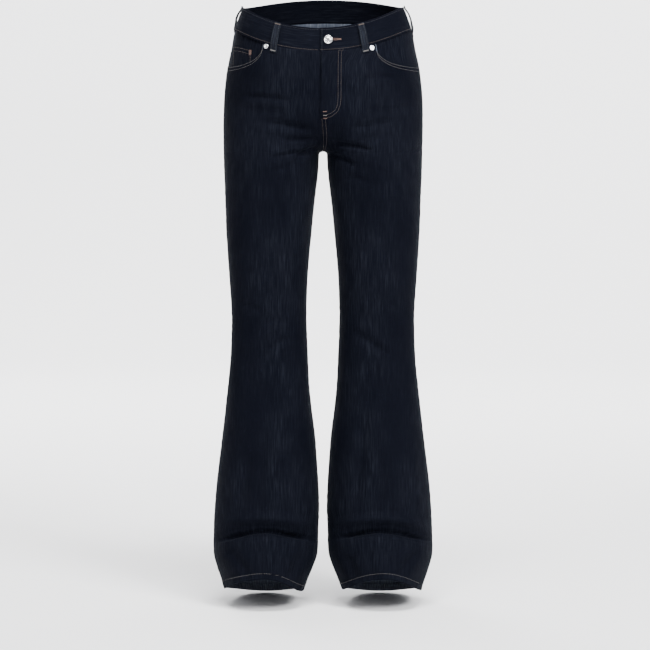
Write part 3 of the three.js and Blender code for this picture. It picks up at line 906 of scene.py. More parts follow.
@dataclass
class Panels:
    """The large panels of the legs and the pieces sewn to their tops and feet.

    Attributes:
        columns: Columns of a front panel, of which scoop_column is where the pocket scoop starts.
        scoop_crowd: How the columns crowd towards the centre and the side.
        break_levels: Heights between which the rows are closer, by the shares in break_steps.
        yoke_depth: Depth of the yoke at the side and at the centre back.
        plumb: Distance from the centre line at which the warp hangs plumb.
        waves: Seed, height and wavelength of the cloth's unevenness.
        welt: Height of the seams' welt, which ends and starts over the distances that follow.
        lift: How far the left front stands out at the fly, with the angles over which that fades.
        fly_ridges: Angle and height of the soft ridges over the layers of the fly.
        scoops: Where each pocket scoop starts and ends, by distance from the centre line and height.
    """

    tailor: Tailor
    columns: int = 92
    back_columns: int = 84
    back_crowd: float = 0.06
    scoop_column: int = 48
    scoop_share: float = 0.4
    scoop_crowd: tuple[float, float] = (1.6, 1.2)
    scoop_fine: int = 120
    step: float = 3.6
    break_levels: Triple = (98, 137, 172)
    break_steps: tuple[float, float] = (0.32, 0.55)
    corner_rows: int = 6
    rise_rows: int = 22
    front_top_rows: int = 40
    back_top_rows: int = 14
    yoke_rows: int = 16
    yoke_depth: tuple[float, float] = (38, 72)
    wall: float = 1.0
    plumb: float = 98.0
    waves: tuple = ((0, 0.5, 70), (50, 0.16, 22))
    wave_calm: float = 14
    pucker: float = 0.28
    pucker_wave: float = 13
    pucker_lean: float = 0.25
    pucker_reach: float = 6
    welt: float = 0.45
    welt_end: tuple[float, float] = (11, 8.5)
    welt_start: tuple[float, float] = (0, 1.5)
    fly_edge: float = 2.4
    fly_under: float = -9.0
    fly_taper: float = 14
    lift: float = 2.2
    lift_start: tuple[float, float] = (28, 3)
    lift_reach: tuple[float, float] = (0.3, 0.08)
    fly_groove: float = -0.013
    groove_width: float = 0.02
    groove_depth: float = -2.2
    fly_ridges: tuple = ((0.05, 0.8), (0.18, 1.9), (0.25, 1.7))
    ridge_width: float = 0.016
    ridge_fade: tuple[float, float] = (935, 985)
    hem_rows: int = 5
    hem_tuck: float = 3
    hem_out: float = 0.5
    hem_wall: float = 2.0
    hem_round: float = 0.5
    twist: float = 0.35
    twist_wave: float = 17
    twist_lean: float = 0.8
    twist_calm: float = 20
    scoops: dict = field(default_factory=lambda: {
        Side.RIGHT: (103.5, 1024.4, 174.5, 984), Side.LEFT: (98, 1023, 174.5, 983)})
    scoop_round: float = 0.87
    grids: dict = field(default_factory=dict)

    def rows(self) -> Array:
        """Heights of the panel rows from inside the hem to the rise curve's top, close at the break."""
        levels = (SHAPE.hem_top - self.hem_tuck, *self.break_levels, SHAPE.crotch - SHAPE.crotch_corner)
        steps = (self.step, *(self.step * share for share in self.break_steps), self.step)
        below = np.concatenate([np.linspace(low, high, int((high - low) / step), high == levels[-1])
                                for low, high, step in zip(levels, levels[1:], steps)])
        corner = SHAPE.crotch - SHAPE.crotch_corner * np.linspace(1, 0, self.corner_rows + 1)[1:] ** 2
        rise = SHAPE.crotch + SHAPE.rise_curve * np.linspace(0, 1, self.rise_rows + 1)[1:] ** 2
        return np.concatenate((below, corner, rise))

    def front_edge(self, side: Side, height: Array) -> Array:
        """The angle of the centre front edge; the left front lies over the right one at the fly."""
        seam = SHAPE.seam_angle(side, height, 0.0)
        edge = self.fly_edge if side is Side.LEFT else self.fly_under
        edge = edge / (SHAPE.column("outer", height) / 2 * (1 + SHAPE.fullness))
        return mix(seam, edge, self.in_fly(height))

    def in_fly(self, height: Array) -> Array:
        """How far a height is in the open part of the fly, from 0 to 1."""
        return ease(SHAPE.fly_bottom, SHAPE.fly_bottom + self.fly_taper, height)

    def scoop(self, side: Side, count: int) -> tuple[Array, Array]:
        """Places along a pocket scoop, evenly spaced over the cloth.

        Args:
            side: The half.
            count: Number of steps.

        Returns:
            Heights and angles from the waist seam to the side seam.
        """
        start, start_height, end, end_height = self.scoops[side]
        turn = np.linspace(0, math.pi / 2, self.scoop_fine + 1)
        across, down = np.maximum(np.cos(turn), 0) ** self.scoop_round, np.sin(turn) ** self.scoop_round
        height, angle = SHAPE.locate(side, Face.FRONT, end - (end - start) * across,
                                     start_height - (start_height - end_height) * down)
        height[-1], angle[-1] = end_height, math.pi
        points = SHAPE.smooth(side, height, angle)
        run = np.concatenate(([0], np.cumsum(np.linalg.norm(np.diff(points, axis=0), axis=1))))
        goal = np.linspace(0, run[-1], count + 1)
        return np.interp(goal, run, height), np.interp(goal, run, angle)

    def front_places(self, side: Side) -> Places:
        """The grid of a front panel, whose top follows the waist seam and then the pocket scoop."""
        rows = self.rows()
        near = np.linspace(0, 1, self.scoop_column + 1) ** self.scoop_crowd[0]
        far = 1 - np.linspace(1, 0, self.columns - self.scoop_column + 1) ** self.scoop_crowd[1]
        part = np.concatenate((self.scoop_share * near, mix(self.scoop_share, 1, far[1:])))
        top = SHAPE.waist_seam - SHAPE.half_gap

        def edges(height: Array) -> tuple[Array, Array]:
            """The angles of the two edges at some heights."""
            return self.front_edge(side, height), math.pi - SHAPE.seam_angle(side, height, math.pi)

        scoop_height, scoop_angle = self.scoop(side, self.columns - self.scoop_column)
        first, last = edges(np.array([top]))
        corner = (scoop_angle[0] - first[0]) / (last[0] - first[0])
        first, last = edges(scoop_height)
        end_part = np.concatenate((corner * near,
                                   np.clip((scoop_angle - first) / (last - first), 0, 1)[1:]))
        end_height = np.concatenate((np.full(self.scoop_column + 1, top), scoop_height[1:]))
        rise = np.linspace(0, 1, self.front_top_rows + 1)[1:, None]
        height = np.concatenate((np.repeat(rows[:, None], len(part), 1), mix(rows[-1], end_height, rise)))
        share = np.concatenate((np.repeat(part[None], len(rows), 0), mix(part, end_part, rise)))
        first, last = edges(height)
        return Places(side, height, mix(first, last, share))

    def back_places(self, side: Side, low: Array | None, high: Callable[[Array], Array],
                    count: int) -> Places:
        """The grid of a back piece.

        Args:
            side: The half.
            low: Lower edge heights for each column, or None to start at the hem.
            high: Upper edge height as a function of the part of the way to the centre back.
            count: Rows between the lower part and the upper edge.

        Returns:
            The places.
        """
        part = self.back_part()
        rise = np.linspace(0, 1, count + 1)[:, None]
        if low is None:
            rows = np.repeat(self.rows()[:, None], len(part), 1)
            height = np.concatenate((rows, mix(rows[-1], high(part), rise[1:])))
        else:
            height = mix(low, high(part), rise)
        first = math.pi + SHAPE.seam_angle(side, height, math.pi)
        last = 2 * math.pi - SHAPE.seam_angle(side, height, 0.0)
        return Places(side, height, mix(first, last, part[None]))

    def back_part(self) -> Array:
        """How far the back's columns are from the side seam to the centre back, closer at the edges."""
        even = np.linspace(0, 1, self.back_columns)
        return even - self.back_crowd * np.sin(2 * math.pi * even)

    def yoke_line(self, part: Array) -> Array:
        """Height of the yoke seam, by the part of the way from the side seam to the centre back."""
        return SHAPE.waist_seam - mix(*self.yoke_depth, part)

    def drawn(self, places: Places, out: Array | float, seed: int, rope: float = 0.0) -> ClothGrid:
        """The points of a piece's outer face with its small unevenness.

        Args:
            places: Where they are on the form.
            out: How far out they lie.
            seed: Chooses the unevenness.
            rope: How far the cloth puckers beside its side edges, in millimetres.

        Returns:
            The grid.
        """
        plain = ClothGrid(SHAPE.folded(places.side, places.height, places.angle))
        along, across = plain.runs(0), plain.runs(1)
        ripple = sum(Ripple(seed + more, size, wave).at(across, along) for more, size, wave in self.waves)
        from_edge = np.minimum(across, across[:, -1:] - across)
        move = ripple * ease(0, self.wave_calm, from_edge)
        if rope:
            pucker = Ripple(seed + 90, rope, self.pucker_wave).at(along * self.pucker_lean, along)
            welt = self.welt * ease(*self.welt_end, from_edge) * ease(*self.welt_start, from_edge)
            move = move + pucker * np.exp(-((from_edge / self.pucker_reach) ** 2)) + welt
        normal = SHAPE.normal(SHAPE.folded, places.side, places.height, places.angle)
        return ClothGrid(plain.points + (move + out)[..., None] * normal)

    def fly(self, places: Places) -> Array:
        """How far the left front is lifted at the fly with its ridges, and the right one pressed in."""
        if places.side is Side.RIGHT:
            pressed = np.exp(-(((places.angle - self.fly_groove) / self.groove_width) ** 2))
            return self.groove_depth * pressed * self.in_fly(places.height)
        low, full = self.lift_start
        high = ease(SHAPE.fly_bottom - low, SHAPE.fly_bottom - full, places.height)
        lift = self.lift * ease(*self.lift_reach, places.angle) * high
        ridges = sum(size * np.exp(-(((places.angle - at) / self.ridge_width) ** 2))
                     for at, size in self.fly_ridges)
        return lift + ridges * (high * ease(*self.ridge_fade, places.height))

    def hem(self, side: Side, seed: int) -> ClothGrid:
        """The hem band, a closed ring with the slight twist that its turned edge gives it.

        Args:
            side: The half.
            seed: Chooses its unevenness.

        Returns:
            The grid.
        """
        angle = np.linspace(0, 2 * math.pi, 2 * self.columns + 1)[None]
        height = np.linspace(SHAPE.hem_edge, SHAPE.hem_top, self.hem_rows + 1)[:, None]
        places = Places(side, *np.broadcast_arrays(height, angle))
        grid = self.drawn(places, self.hem_out, seed + 6)
        length = grid.runs(1)
        twist = Ripple(seed + 70, self.twist, self.twist_wave).at(length, self.twist_lean * grid.runs(0))
        twist *= ease(0, self.twist_calm, np.minimum(length, length[:, -1:] - length))
        grid.points += twist[..., None] * SHAPE.normal(SHAPE.smooth, side, places.height, places.angle)
        grid.points[:, -1] = grid.points[:, 0]
        return grid

    def build(self) -> None:
        """Builds the four large panels, the yokes and the hems."""
        for side, flip, number in ((Side.LEFT, False, 1), (Side.RIGHT, True, 2)):
            front = self.front_places(side)
            self.grids["front", side] = self.drawn(front, self.fly(front), number, self.pucker)
            back = self.back_places(side, None, lambda part: self.yoke_line(part) - SHAPE.half_gap,
                                    self.back_top_rows)
            self.grids["back", side] = self.drawn(back, 0.0, number + 2, self.pucker)
            yoke = self.back_places(side, self.yoke_line(self.back_part()) + SHAPE.half_gap,
                                    lambda part: np.full(part.shape, SHAPE.waist_seam - SHAPE.half_gap),
                                    self.yoke_rows)
            self.grids["yoke", side] = self.drawn(yoke, 0.0, number + 4)
            self.grids["hem", side] = self.hem(side, number)
            word = side.name.lower()
            for kind, plumb in (("front", self.plumb), ("back", self.plumb), ("yoke", 0.0), ("hem", 0.0)):
                closed = kind == "hem"
                wall, bevel = (self.hem_wall, self.hem_round) if closed else (self.wall, 0.0)
                piece = self.tailor.shell(f"{word}_{kind}_cloth", f"{kind}_{word}", self.grids[kind, side],
                                          wall, flip, bevel, closed, plumb=plumb)


@dataclass
class Waistband:
    """The two-layer band round the waist, lapped left over right, with its shield and belt loops.

    Attributes:
        lapped: Angle up to which the right end lies under the left one, with the angles of its descent.
        waves: Seed, height, wavelength and lean of the band's unevenness.
        groove: Depth, distance from the edge and width of the grooves along the stitches.
        shield: Where the fly shield starts and ends, by distance from the centre line.
        loop_bow: How far a loop stands off in its middle, with the shares where that starts and ends.
        loop_step: Heights under the waist seam between which a loop climbs onto the band.
        loops: Name, face, place of the top and of the foot, and height above the band of each loop.
    """

    tailor: Tailor
    wall: float = 2.0
    out: float = 0.6
    rounding: float = 0.5
    underlap: float = 38
    lapped: float = -0.2
    descent: tuple[float, float] = (0.06, 0.17)
    lap_gap: float = 0.4
    lap_columns: int = 40
    first_showing: int = 22
    columns: int = 299
    rows: int = 13
    waves: tuple = ((31, 0.35, 60, 0.3), (32, 0.18, 12, 1.0))
    wave_calm: float = 6
    groove: Triple = (-0.35, 3.2, 1.2)
    shield: tuple[float, float] = (-12, 42)
    shield_in: float = -2.4
    shield_wall: float = 1.0
    shield_size: tuple[int, int] = (40, 20)
    shield_below: float = 6
    loop_width: float = 12.6
    loop_below: float = 12
    loop_bow: float = 3.1
    loop_bow_ends: tuple = ((0.06, 0.3), (0.95, 0.7))
    loop_wave: tuple[float, float] = (0.15, 14)
    loop_step: tuple[float, float] = (6, 1)
    loop_gap: float = 0.3
    loop_rounds: int = 20
    loop_rows: int = 40
    loop_columns: int = 9
    loops: tuple = (("front_right", Face.FRONT, -75.5, -84.5, -1),
                    ("front_left", Face.FRONT, 71.5, 81.5, -1),
                    ("side_right", Face.BACK, -149, -161, 3),
                    ("side_left", Face.BACK, 149, 161, 3),
                    ("back", Face.BACK, 0, 0, -1))
    grids: dict = field(default_factory=dict)

    def round_at(self, x: float, height: float) -> float:
        """The torso's angle at a distance from the centre line."""
        return float(x / (SHAPE.column("outer", np.array([height], float))[0] * (1 + SHAPE.fullness)))

    def ring_grid(self, height: Array, round_: Array, out: Array) -> ClothGrid:
        """Points of the torso moved out along its normal."""
        normal = SHAPE.normal(SHAPE.ring, Side.LEFT, height, round_)
        return ClothGrid(SHAPE.ring(Side.LEFT, height, round_) + np.asarray(out)[..., None] * normal)

    def band(self) -> None:
        """Builds the band; its right end lies under the left one."""
        start = self.round_at(self.underlap, SHAPE.waist_seam)
        near = np.linspace(start, self.lapped, self.lap_columns)
        turn = np.concatenate((near, np.linspace(self.lapped, -2 * math.pi, self.columns + 1)[1:]))
        rise = np.linspace(SHAPE.waist_seam + SHAPE.half_gap, SHAPE.band_top, self.rows + 1)
        height, round_ = np.broadcast_arrays(rise[:, None], turn[None])
        under = (self.wall + self.lap_gap) * (1 - ease(*self.descent, -round_))
        grid = self.ring_grid(height, round_, self.out - under)
        length = grid.runs(1)
        ripple = sum(Ripple(seed, size, wave).at(length, upright * height)
                     for seed, size, wave, upright in self.waves)
        edge = np.minimum(height - SHAPE.waist_seam, SHAPE.band_top - height)
        depth, middle, width = self.groove
        groove = depth * np.exp(-(((edge - middle) / width) ** 2))
        grid.points += (ripple * ease(0, self.wave_calm, edge) + groove)[..., None] * SHAPE.normal(
            SHAPE.ring, Side.LEFT, height, round_)
        self.grids["band"] = grid
        piece = self.tailor.shell("waistband_cloth", "waistband", grid, self.wall, True, self.rounding,
                                  banded=True)

    def fly_shield(self) -> None:
        """Builds the plain underlap behind the fly."""
        low, high = SHAPE.fly_bottom - self.shield_below, SHAPE.waist_seam - SHAPE.half_gap
        rows, columns = self.shield_size
        height = np.linspace(low, high, rows)[:, None]
        part = np.linspace(*self.shield, columns)[None]
        round_ = part / (SHAPE.column("outer", height) * (1 + SHAPE.fullness))
        height, round_ = np.broadcast_arrays(height, round_)
        grid = self.ring_grid(height, round_, np.full(height.shape, self.shield_in))
        piece = self.tailor.shell("fly_shield_cloth", "fly_shield", grid, self.shield_wall, False)

    def belt_loop(self, name: str, face: Face, top: float, bottom: float, above: float) -> None:
        """Builds one belt loop.

        Args:
            name: Which loop.
            face: Front or back.
            top: Its centre's distance from the centre line at the top.
            bottom: The same at the bottom.
            above: How far it stands above the band's edge, in millimetres.
        """
        part = np.linspace(0, 1, self.loop_rows)
        height = mix(SHAPE.waist_seam - self.loop_below, SHAPE.band_top + above, part)
        x = mix(bottom, top, part)
        ratio = np.minimum(0.999, np.abs(x) / SHAPE.column("outer", height))
        round_ = np.arcsin(ratio)
        for _ in range(self.loop_rounds):
            round_ = np.arcsin(np.minimum(1, ratio / (1 + SHAPE.fullness * np.cos(round_) ** 2)))
        sign = np.where(x < 0, -1, 1)
        round_ = sign * (math.pi - round_ if face is Face.BACK else round_)
        step = 2 * SHAPE.probe_turn
        run = np.linalg.norm(SHAPE.ring(L, height, round_ + step) - SHAPE.ring(L, height, round_), axis=-1)
        across = np.linspace(-0.5, 0.5, self.loop_columns)[None] * self.loop_width
        wide = round_[:, None] + across / (run / step)[:, None]
        tall = np.broadcast_to(height[:, None], wide.shape)
        low, high = (SHAPE.waist_seam - below for below in self.loop_step)
        base = mix(0, self.out, ease(low, high, height)) + self.loop_gap
        foot, head = self.loop_bow_ends
        bow = self.loop_bow * ease(*foot, part) * ease(*head, part)
        wavy = Ripple(len(name), *self.loop_wave).at(across, tall)
        grid = self.ring_grid(tall, wide, (base + self.wall + bow)[:, None] + wavy)
        self.grids["loop", name] = grid
        # The loops get the paler denim, whose lightness is partly painted light and partly wear.
        piece = self.tailor.shell(f"belt_loop_{name}_cloth", f"belt_loop_{name}", grid, self.wall, False,
                                  self.rounding, face=self.tailor.finishes.rubbed)

    def build(self) -> None:
        """Builds the band, the shield and the loops."""
        self.band()
        self.fly_shield()
        for loop in self.loops:
            self.belt_loop(*loop)


@dataclass
class Pockets:
    """The facings that show in the scoops, the coin pocket and the back patch pockets.

    Attributes:
        facing_under: How far each facing lies under the panel's outer face.
        facing_down: How far the facings reach under the waist seam and under the scoop's end.
        coin: Inner and outer edge by distance from the centre line, top and bottom by height.
        coin_slope: How steeply its mouth rises outwards.
        patch: Inner and outer edge, top, depth, height of the point, and how far the sides draw in.
        patch_puff: How far a patch swells, and over what distance from its edges.
        patch_rim: Height and width of its turned edge.
        patch_wave: Height, wavelength and calm edge of its unevenness.
    """

    tailor: Tailor
    panels: Panels
    wall: float = 1.0
    facing_under: dict = field(default_factory=lambda: {Side.RIGHT: 3.1, Side.LEFT: 1.7})
    facing_inward: float = 16
    facing_down: tuple[float, float] = (42, 18)
    facing_size: tuple[int, int] = (42, 46)
    coin: tuple[float, float, float, float] = (126.5, 163, 1013, 957)
    coin_slope: float = 0.2
    coin_under: float = 1.7
    coin_size: int = 34
    patch: tuple[float, float, float, float, float, float] = (42, 167, 972, 114, 22, 0.03)
    patch_size: int = 50
    patch_out: float = 1.5
    patch_puff: tuple[float, float] = (1.6, 30)
    patch_rim: tuple[float, float] = (0.5, 1.5)
    patch_wave: Triple = (0.35, 45, 12)
    grids: dict = field(default_factory=dict)

    def facing(self, side: Side) -> None:
        """Builds the piece that shows in a pocket opening."""
        start, start_height, _, end_height = self.panels.scoops[side]
        _, first = SHAPE.locate(side, Face.FRONT, start - self.facing_inward, start_height)
        rows, columns = self.facing_size
        part = np.linspace(0, 1, columns)[None]
        down = np.linspace(1, 0, rows)[:, None]
        front_down, side_down = self.facing_down
        foot = mix(SHAPE.waist_seam - front_down, end_height - side_down, part)
        height = mix(SHAPE.waist_seam - SHAPE.half_gap, foot, down)
        angle = mix(first, math.pi - 2 * SHAPE.seam_angle(side, height, math.pi), part)
        grid = ClothGrid(SHAPE.cloth(side, height, angle, -self.facing_under[side]))
        self.grids["facing", side] = grid
        word = side.name.lower()
        piece = self.tailor.shell(f"pocket_facing_{word}_cloth", f"pocket_facing_{word}", grid, self.wall,
                                  side is Side.RIGHT)

    def coin_pocket(self) -> None:
        """Builds the small pocket on the right facing."""
        left, right, top, bottom = self.coin
        x = np.linspace(left, right, self.coin_size)[None]
        part = np.linspace(0, 1, self.coin_size)
        z = mix(bottom, top, part[:, None]) + self.coin_slope * (x - left) * part[:, None]
        height, angle = SHAPE.locate(Side.RIGHT, Face.FRONT, x, z)
        angle = mix(angle[:, :1], angle[:, -1:], part[None])
        grid = ClothGrid(SHAPE.cloth(Side.RIGHT, height, angle, -self.coin_under))
        self.grids["coin"] = grid
        piece = self.tailor.shell("coin_pocket_cloth", "coin_pocket", grid, self.wall, True)

    def back_pocket(self, side: Side) -> None:
        """Builds a plain patch pocket with a pointed foot."""
        inner_x, outer_x, top, drop, point, taper = self.patch
        _, inner = SHAPE.locate(side, Face.BACK, inner_x, top)
        _, outer = SHAPE.locate(side, Face.BACK, outer_x, top)
        down = np.linspace(1, 0, self.patch_size)[:, None]
        part = np.linspace(0, 1, self.patch_size)[None]
        angle = mix(outer + taper * down, inner - taper * down, part)
        foot = drop + point * (1 - np.abs(2 * part - 1))
        height = top - foot * down - SHAPE.tilt(side, np.full(angle.shape, float(top)), angle)
        plain = ClothGrid(SHAPE.folded(side, height, angle))
        across, along = plain.runs(1), plain.runs(0)
        edge = np.minimum(across, across[:, -1:] - across)
        edge = np.minimum(edge, np.minimum(along, along[-1:] - along))
        puff, puff_reach = self.patch_puff
        rim, rim_width = self.patch_rim
        size, wave, calm = self.patch_wave
        swell = puff * ease(0, puff_reach, edge) + rim * np.exp(-(((edge - rim_width) / rim_width) ** 2))
        uneven = Ripple(41 + side.value, size, wave).at(across, along) * ease(0, calm, edge)
        move = self.patch_out + swell + uneven
        normal = SHAPE.normal(SHAPE.folded, side, height, angle)
        grid = ClothGrid(plain.points + move[..., None] * normal)
        self.grids["patch", side] = grid
        word = side.name.lower()
        piece = self.tailor.shell(f"back_pocket_{word}_cloth", f"back_pocket_{word}", grid, self.wall,
                                  side is Side.RIGHT)

    def build(self) -> None:
        """Builds all the pockets' pieces."""
        for side in Side:
            self.facing(side)
            self.back_pocket(side)
        self.coin_pocket()


@dataclass
class Metalwork:
    """The shank button and the two rivets, turned from their profiles."""

    tailor: Tailor
    panels: Panels
    button_place: tuple[float, float] = (14.4, 1029.5)
    button_out: float = 0.9
    button_profile: tuple = ((0, 0.2), (3, 0.2), (3, 1.2), (7.2, 1.2), (7.7, 1.45), (7.85, 2.0), (7.8, 2.6),
                             (7.5, 3.1), (7.0, 3.35), (6.4, 3.3), (6.0, 2.95), (5.7, 2.6), (5.3, 2.5),
                             (3.6, 2.75), (3.2, 3.05), (2.8, 3.15), (2.3, 3.1), (1.2, 3.15), (0, 3.2))
    rivet_out: float = 0.4
    rivet_profile: tuple = ((0, 0.1), (4.3, 0.1), (4.45, 0.45), (4.35, 0.9), (4.0, 1.2), (3.3, 1.35),
                            (2.6, 1.25), (2.1, 0.9), (1.8, 0.5), (1.5, 0.3), (0.9, 0.25), (0.5, 0.4),
                            (0, 0.45))
    steps: int = 56
    rivet_back: float = 6
    rivet_below: dict = field(default_factory=lambda: {Side.RIGHT: 6.0, Side.LEFT: 8.0})

    def turned(self, name: str, node: str, profile: Sequence[tuple[float, float]], side: Side,
               x: float, z: float, out: float) -> None:
        """A turned piece standing on the cloth.

        Args:
            name: Name of the piece.
            node: The solid that it stands for.
            profile: Radius and height above its foot, from the axis back to the axis.
            side: The half that it stands on.
            x: Its distance from the centre line.
            z: Its height above the floor.
            out: How far its foot is from the worn form, in millimetres.
        """
        height, angle = SHAPE.locate(side, Face.FRONT, x, z)
        normal = SHAPE.normal(SHAPE.smooth, side, height, angle)
        at = SHAPE.smooth(side, height, angle) + out * normal
        bm = bmesh.new()
        points = [bm.verts.new((radius * MM, 0, rise * MM)) for radius, rise in profile]
        edges = [bm.edges.new(pair) for pair in zip(points, points[1:])]
        bmesh.ops.spin(bm, geom=points + edges, cent=(0, 0, 0), axis=(0, 0, 1), dvec=(0, 0, 0),
                       angle=math.tau, steps=self.steps, use_merge=True, use_duplicate=False)
        bmesh.ops.remove_doubles(bm, verts=bm.verts, dist=1e-6)
        bmesh.ops.recalc_face_normals(bm, faces=bm.faces)
        turn = Vector(normal).to_track_quat("Z", "Y").to_matrix().to_4x4()
        bmesh.ops.transform(bm, matrix=Matrix.Translation(SHAPE.metres(at)) @ turn, verts=bm.verts)
        self.tailor.finish_piece(bm, name, node, Slot.METAL, (self.tailor.finishes.metal,))

    def build(self) -> None:
        """Builds the button and the rivets."""
        self.turned("shank_button", "button", self.button_profile, Side.LEFT, *self.button_place,
                    self.button_out)
        for side in Side:
            start, start_height, _, _ = self.panels.scoops[side]
            word = side.name.lower()
            self.turned(f"pocket_rivet_{word}", f"rivet_{word}", self.rivet_profile, side,
                        start - self.rivet_back, start_height - self.rivet_below[side], self.rivet_out)


@dataclass
class Seamstress:
    """Sews rows of single stitches on the cloth; each stitch is a small flattened bead of thread.

    Attributes:
        pitch: Distance between stitches.
        batch: Vertices in a bmesh before they are moved over, which keeps the sewing fast.
        twin: Distances of a double row from its edge; patch_twin is that of the back pockets.
        crotch_clear: Rows of the panels under and over the crotch that stay free of the double rows.
        under_fly: How far under the fly's end the front rise's double row ends.
        hip_rows: Rows under that place at which the side seam's row starts.
        grip: Share of a stitch's length over which its direction is taken.
        torso_start: Heights over the crotch between which the middle line goes from leg to torso.
        hook_knots: Points of the fly's two rows, by distance from the centre line and height.
        fly_tacks: Height and thread of the fly's bar tacks.
        hole: Start and end of the buttonhole by distance from the centre line, and its height.
        hole_tack: How far its bar tack reaches on, its length and its width.
        sewn: The finished stitches of each thread; open holds its newest ones.
    """

    tailor: Tailor
    panels: Panels
    band: Waistband
    pockets: Pockets
    pitch: float = 3.1
    length: float = 2.5
    width: float = 0.62
    height: float = 0.42
    batch: int = 1200
    twin: tuple[float, float] = (2.4, 8.6)
    patch_twin: tuple[float, float] = (2.2, 8.4)
    patch_mouth: tuple[float, float] = (3.0, 16.0)
    edge: float = 2.2
    band_edge: float = 3.2
    loop_edge: float = 2.3
    coin_edge: float = 2.0
    loop_tacks: tuple = ((2, "beige"), (-3, "brown"))
    loop_tack: tuple[float, float, int] = (10.5, 2.2, 14)
    coin_tack: tuple[float, float, int] = (8.5, 7.5, 12)
    patch_tack: tuple[float, float, int] = (11, 2.4, 12)
    crotch_clear: tuple[int, int] = (4, 3)
    under_fly: float = 18
    hip_rows: int = 22
    scoop_nearer: float = 0.2
    grip: float = 0.9
    above: float = 0.12
    tack_above: float = 0.25
    tack_lean: float = 0.18
    tack_overlap: float = 1.35
    middle_depth: float = 3.0
    torso_share: float = 0.45
    torso_start: tuple[float, float] = (20, 90)
    hook_knots: tuple = (((32.6, 32.5, 31.6, 27.9, 19.4, 10.9), (1043, 930, 915, 905, 899, 896.2)),
                         ((37.8, 37.7, 36.4, 32.4, 27.4, 19.4, 10.9),
                          (1043, 930, 914, 903, 898.5, 893, 891)))
    fly_tacks: tuple = ((902.5, "rust"), (895.5, "beige"), (890, "rust"))
    hole: Triple = (20, 31, 1030.5)
    hole_lip: float = 1.2
    hole_stitches: int = 11
    hole_stitch: tuple[float, float] = (1.5, 1.15)
    hole_tack: Triple = (6, 7, 3.8)
    fly_tack: tuple[float, float] = (6.5, 2.0)
    fly_tack_span: tuple[float, float] = (5.5, 11.5)
    sewn: dict = field(default_factory=dict)
    open: dict = field(default_factory=dict)

    def stitch(self, thread: str, centre: Array, along: Array, out: Array, length: float,
               width: float) -> None:
        """Adds one stitch to the bmesh of its thread.

        Args:
            thread: Which thread.
            centre: Its middle, in millimetres.
            along: Its direction.
            out: The cloth's normal.
            length: Its length.
            width: Its width.
        """
        bm = self.open.setdefault(thread, bmesh.new())
        x = Vector(along).normalized()
        y = Vector(out).cross(x).normalized()
        z = x.cross(y)
        scale = Matrix.Diagonal((length / 2 * MM, width / 2 * MM, self.height / 2 * MM, 1))
        turn = Matrix((x, y, z)).transposed().to_4x4()
        bmesh.ops.create_uvsphere(bm, u_segments=6, v_segments=4, radius=1,
                                  matrix=Matrix.Translation(SHAPE.metres(centre)) @ turn @ scale)
        if len(bm.verts) > self.batch:
            self.gather(thread)

    def gather(self, thread: str) -> None:
        """Moves a thread's newest stitches over to all its others."""
        bm = self.open.pop(thread)
        mesh = bpy.data.meshes.new("stitches")
        bm.to_mesh(mesh)
        bm.free()
        self.sewn.setdefault(thread, bmesh.new()).from_mesh(mesh)
        bpy.data.meshes.remove(mesh)

    def row(self, thread: str, line: Array) -> None:
        """Sews a row of stitches along a line.

        Args:
            thread: Which thread.
            line: Points of the line, in millimetres.
        """
        step = np.linalg.norm(np.diff(line, axis=0), axis=1)
        run = np.concatenate(([0], np.cumsum(step)))
        count = max(1, int(run[-1] / self.pitch))
        for k in range(count):
            middle = (k + 0.5) / count * run[-1]
            half = self.length / 2 * self.grip
            a, b, c = (np.array([np.interp(s, run, line[:, axis]) for axis in range(3)])
                       for s in (middle - half, middle, middle + half))
            along = c - a
            out = b - self.inside(b)
            out = out - along * (out @ along) / max(along @ along, 1e-9)
            out = out / max(np.linalg.norm(out), 1e-9)
            self.stitch(thread, b + out * self.above, along, out, self.length, self.width)

    def inside(self, point: Array) -> Array:
        """A point on the middle line of the leg or of the torso at the height of a point."""
        height = np.array([np.clip(point[2], SHAPE.hem_edge, SHAPE.band_top)])
        outer, inner = SHAPE.column("outer", height)[0], SHAPE.column("inner", height)[0]
        low, high = self.torso_start
        torso = float(ease(SHAPE.crotch + low, SHAPE.crotch + high, point[2]))
        x = math.copysign((outer + inner) / 2, point[0]) * (1 - torso) + self.torso_share * point[0] * torso
        return np.array((x, self.middle_depth, point[2]))

    def tack(self, thread: str, centre: Array, along: Array, out: Array, length: float,
             width: float, count: int = 9) -> None:
        """Sews a bar tack: stitches laid close together across a short bar.

        Args:
            thread: Which thread.
            centre: The middle of the bar.
            along: The direction of the bar.
            out: The cloth's normal.
            length: Length of the bar.
            width: Width of the bar.
            count: Number of stitches.
        """
        along = along / np.linalg.norm(along)
        out = out / np.linalg.norm(out)
        across = np.cross(out, along)
        for k in range(count):
            shift = ((k + 0.5) / count - 0.5) * length
            lean = across + (self.tack_lean if k % 2 else -self.tack_lean) * along
            self.stitch(thread, centre + along * shift + out * self.tack_above, lean, out, width,
                        self.tack_overlap * length / count)

    def on_cloth(self, x: Sequence[float], z: Sequence[float], tree: BVHTree) -> tuple[Array, Array]:
        """Points and normals on a piece of the left front, by distance from the centre line and height."""
        height, angle = SHAPE.locate(Side.LEFT, Face.FRONT, x, z)
        near = SHAPE.smooth(Side.LEFT, height, angle)
        found = np.array([tree.find_nearest(Vector(point))[0] for point in near])
        return found, SHAPE.normal(SHAPE.smooth, Side.LEFT, height, angle)

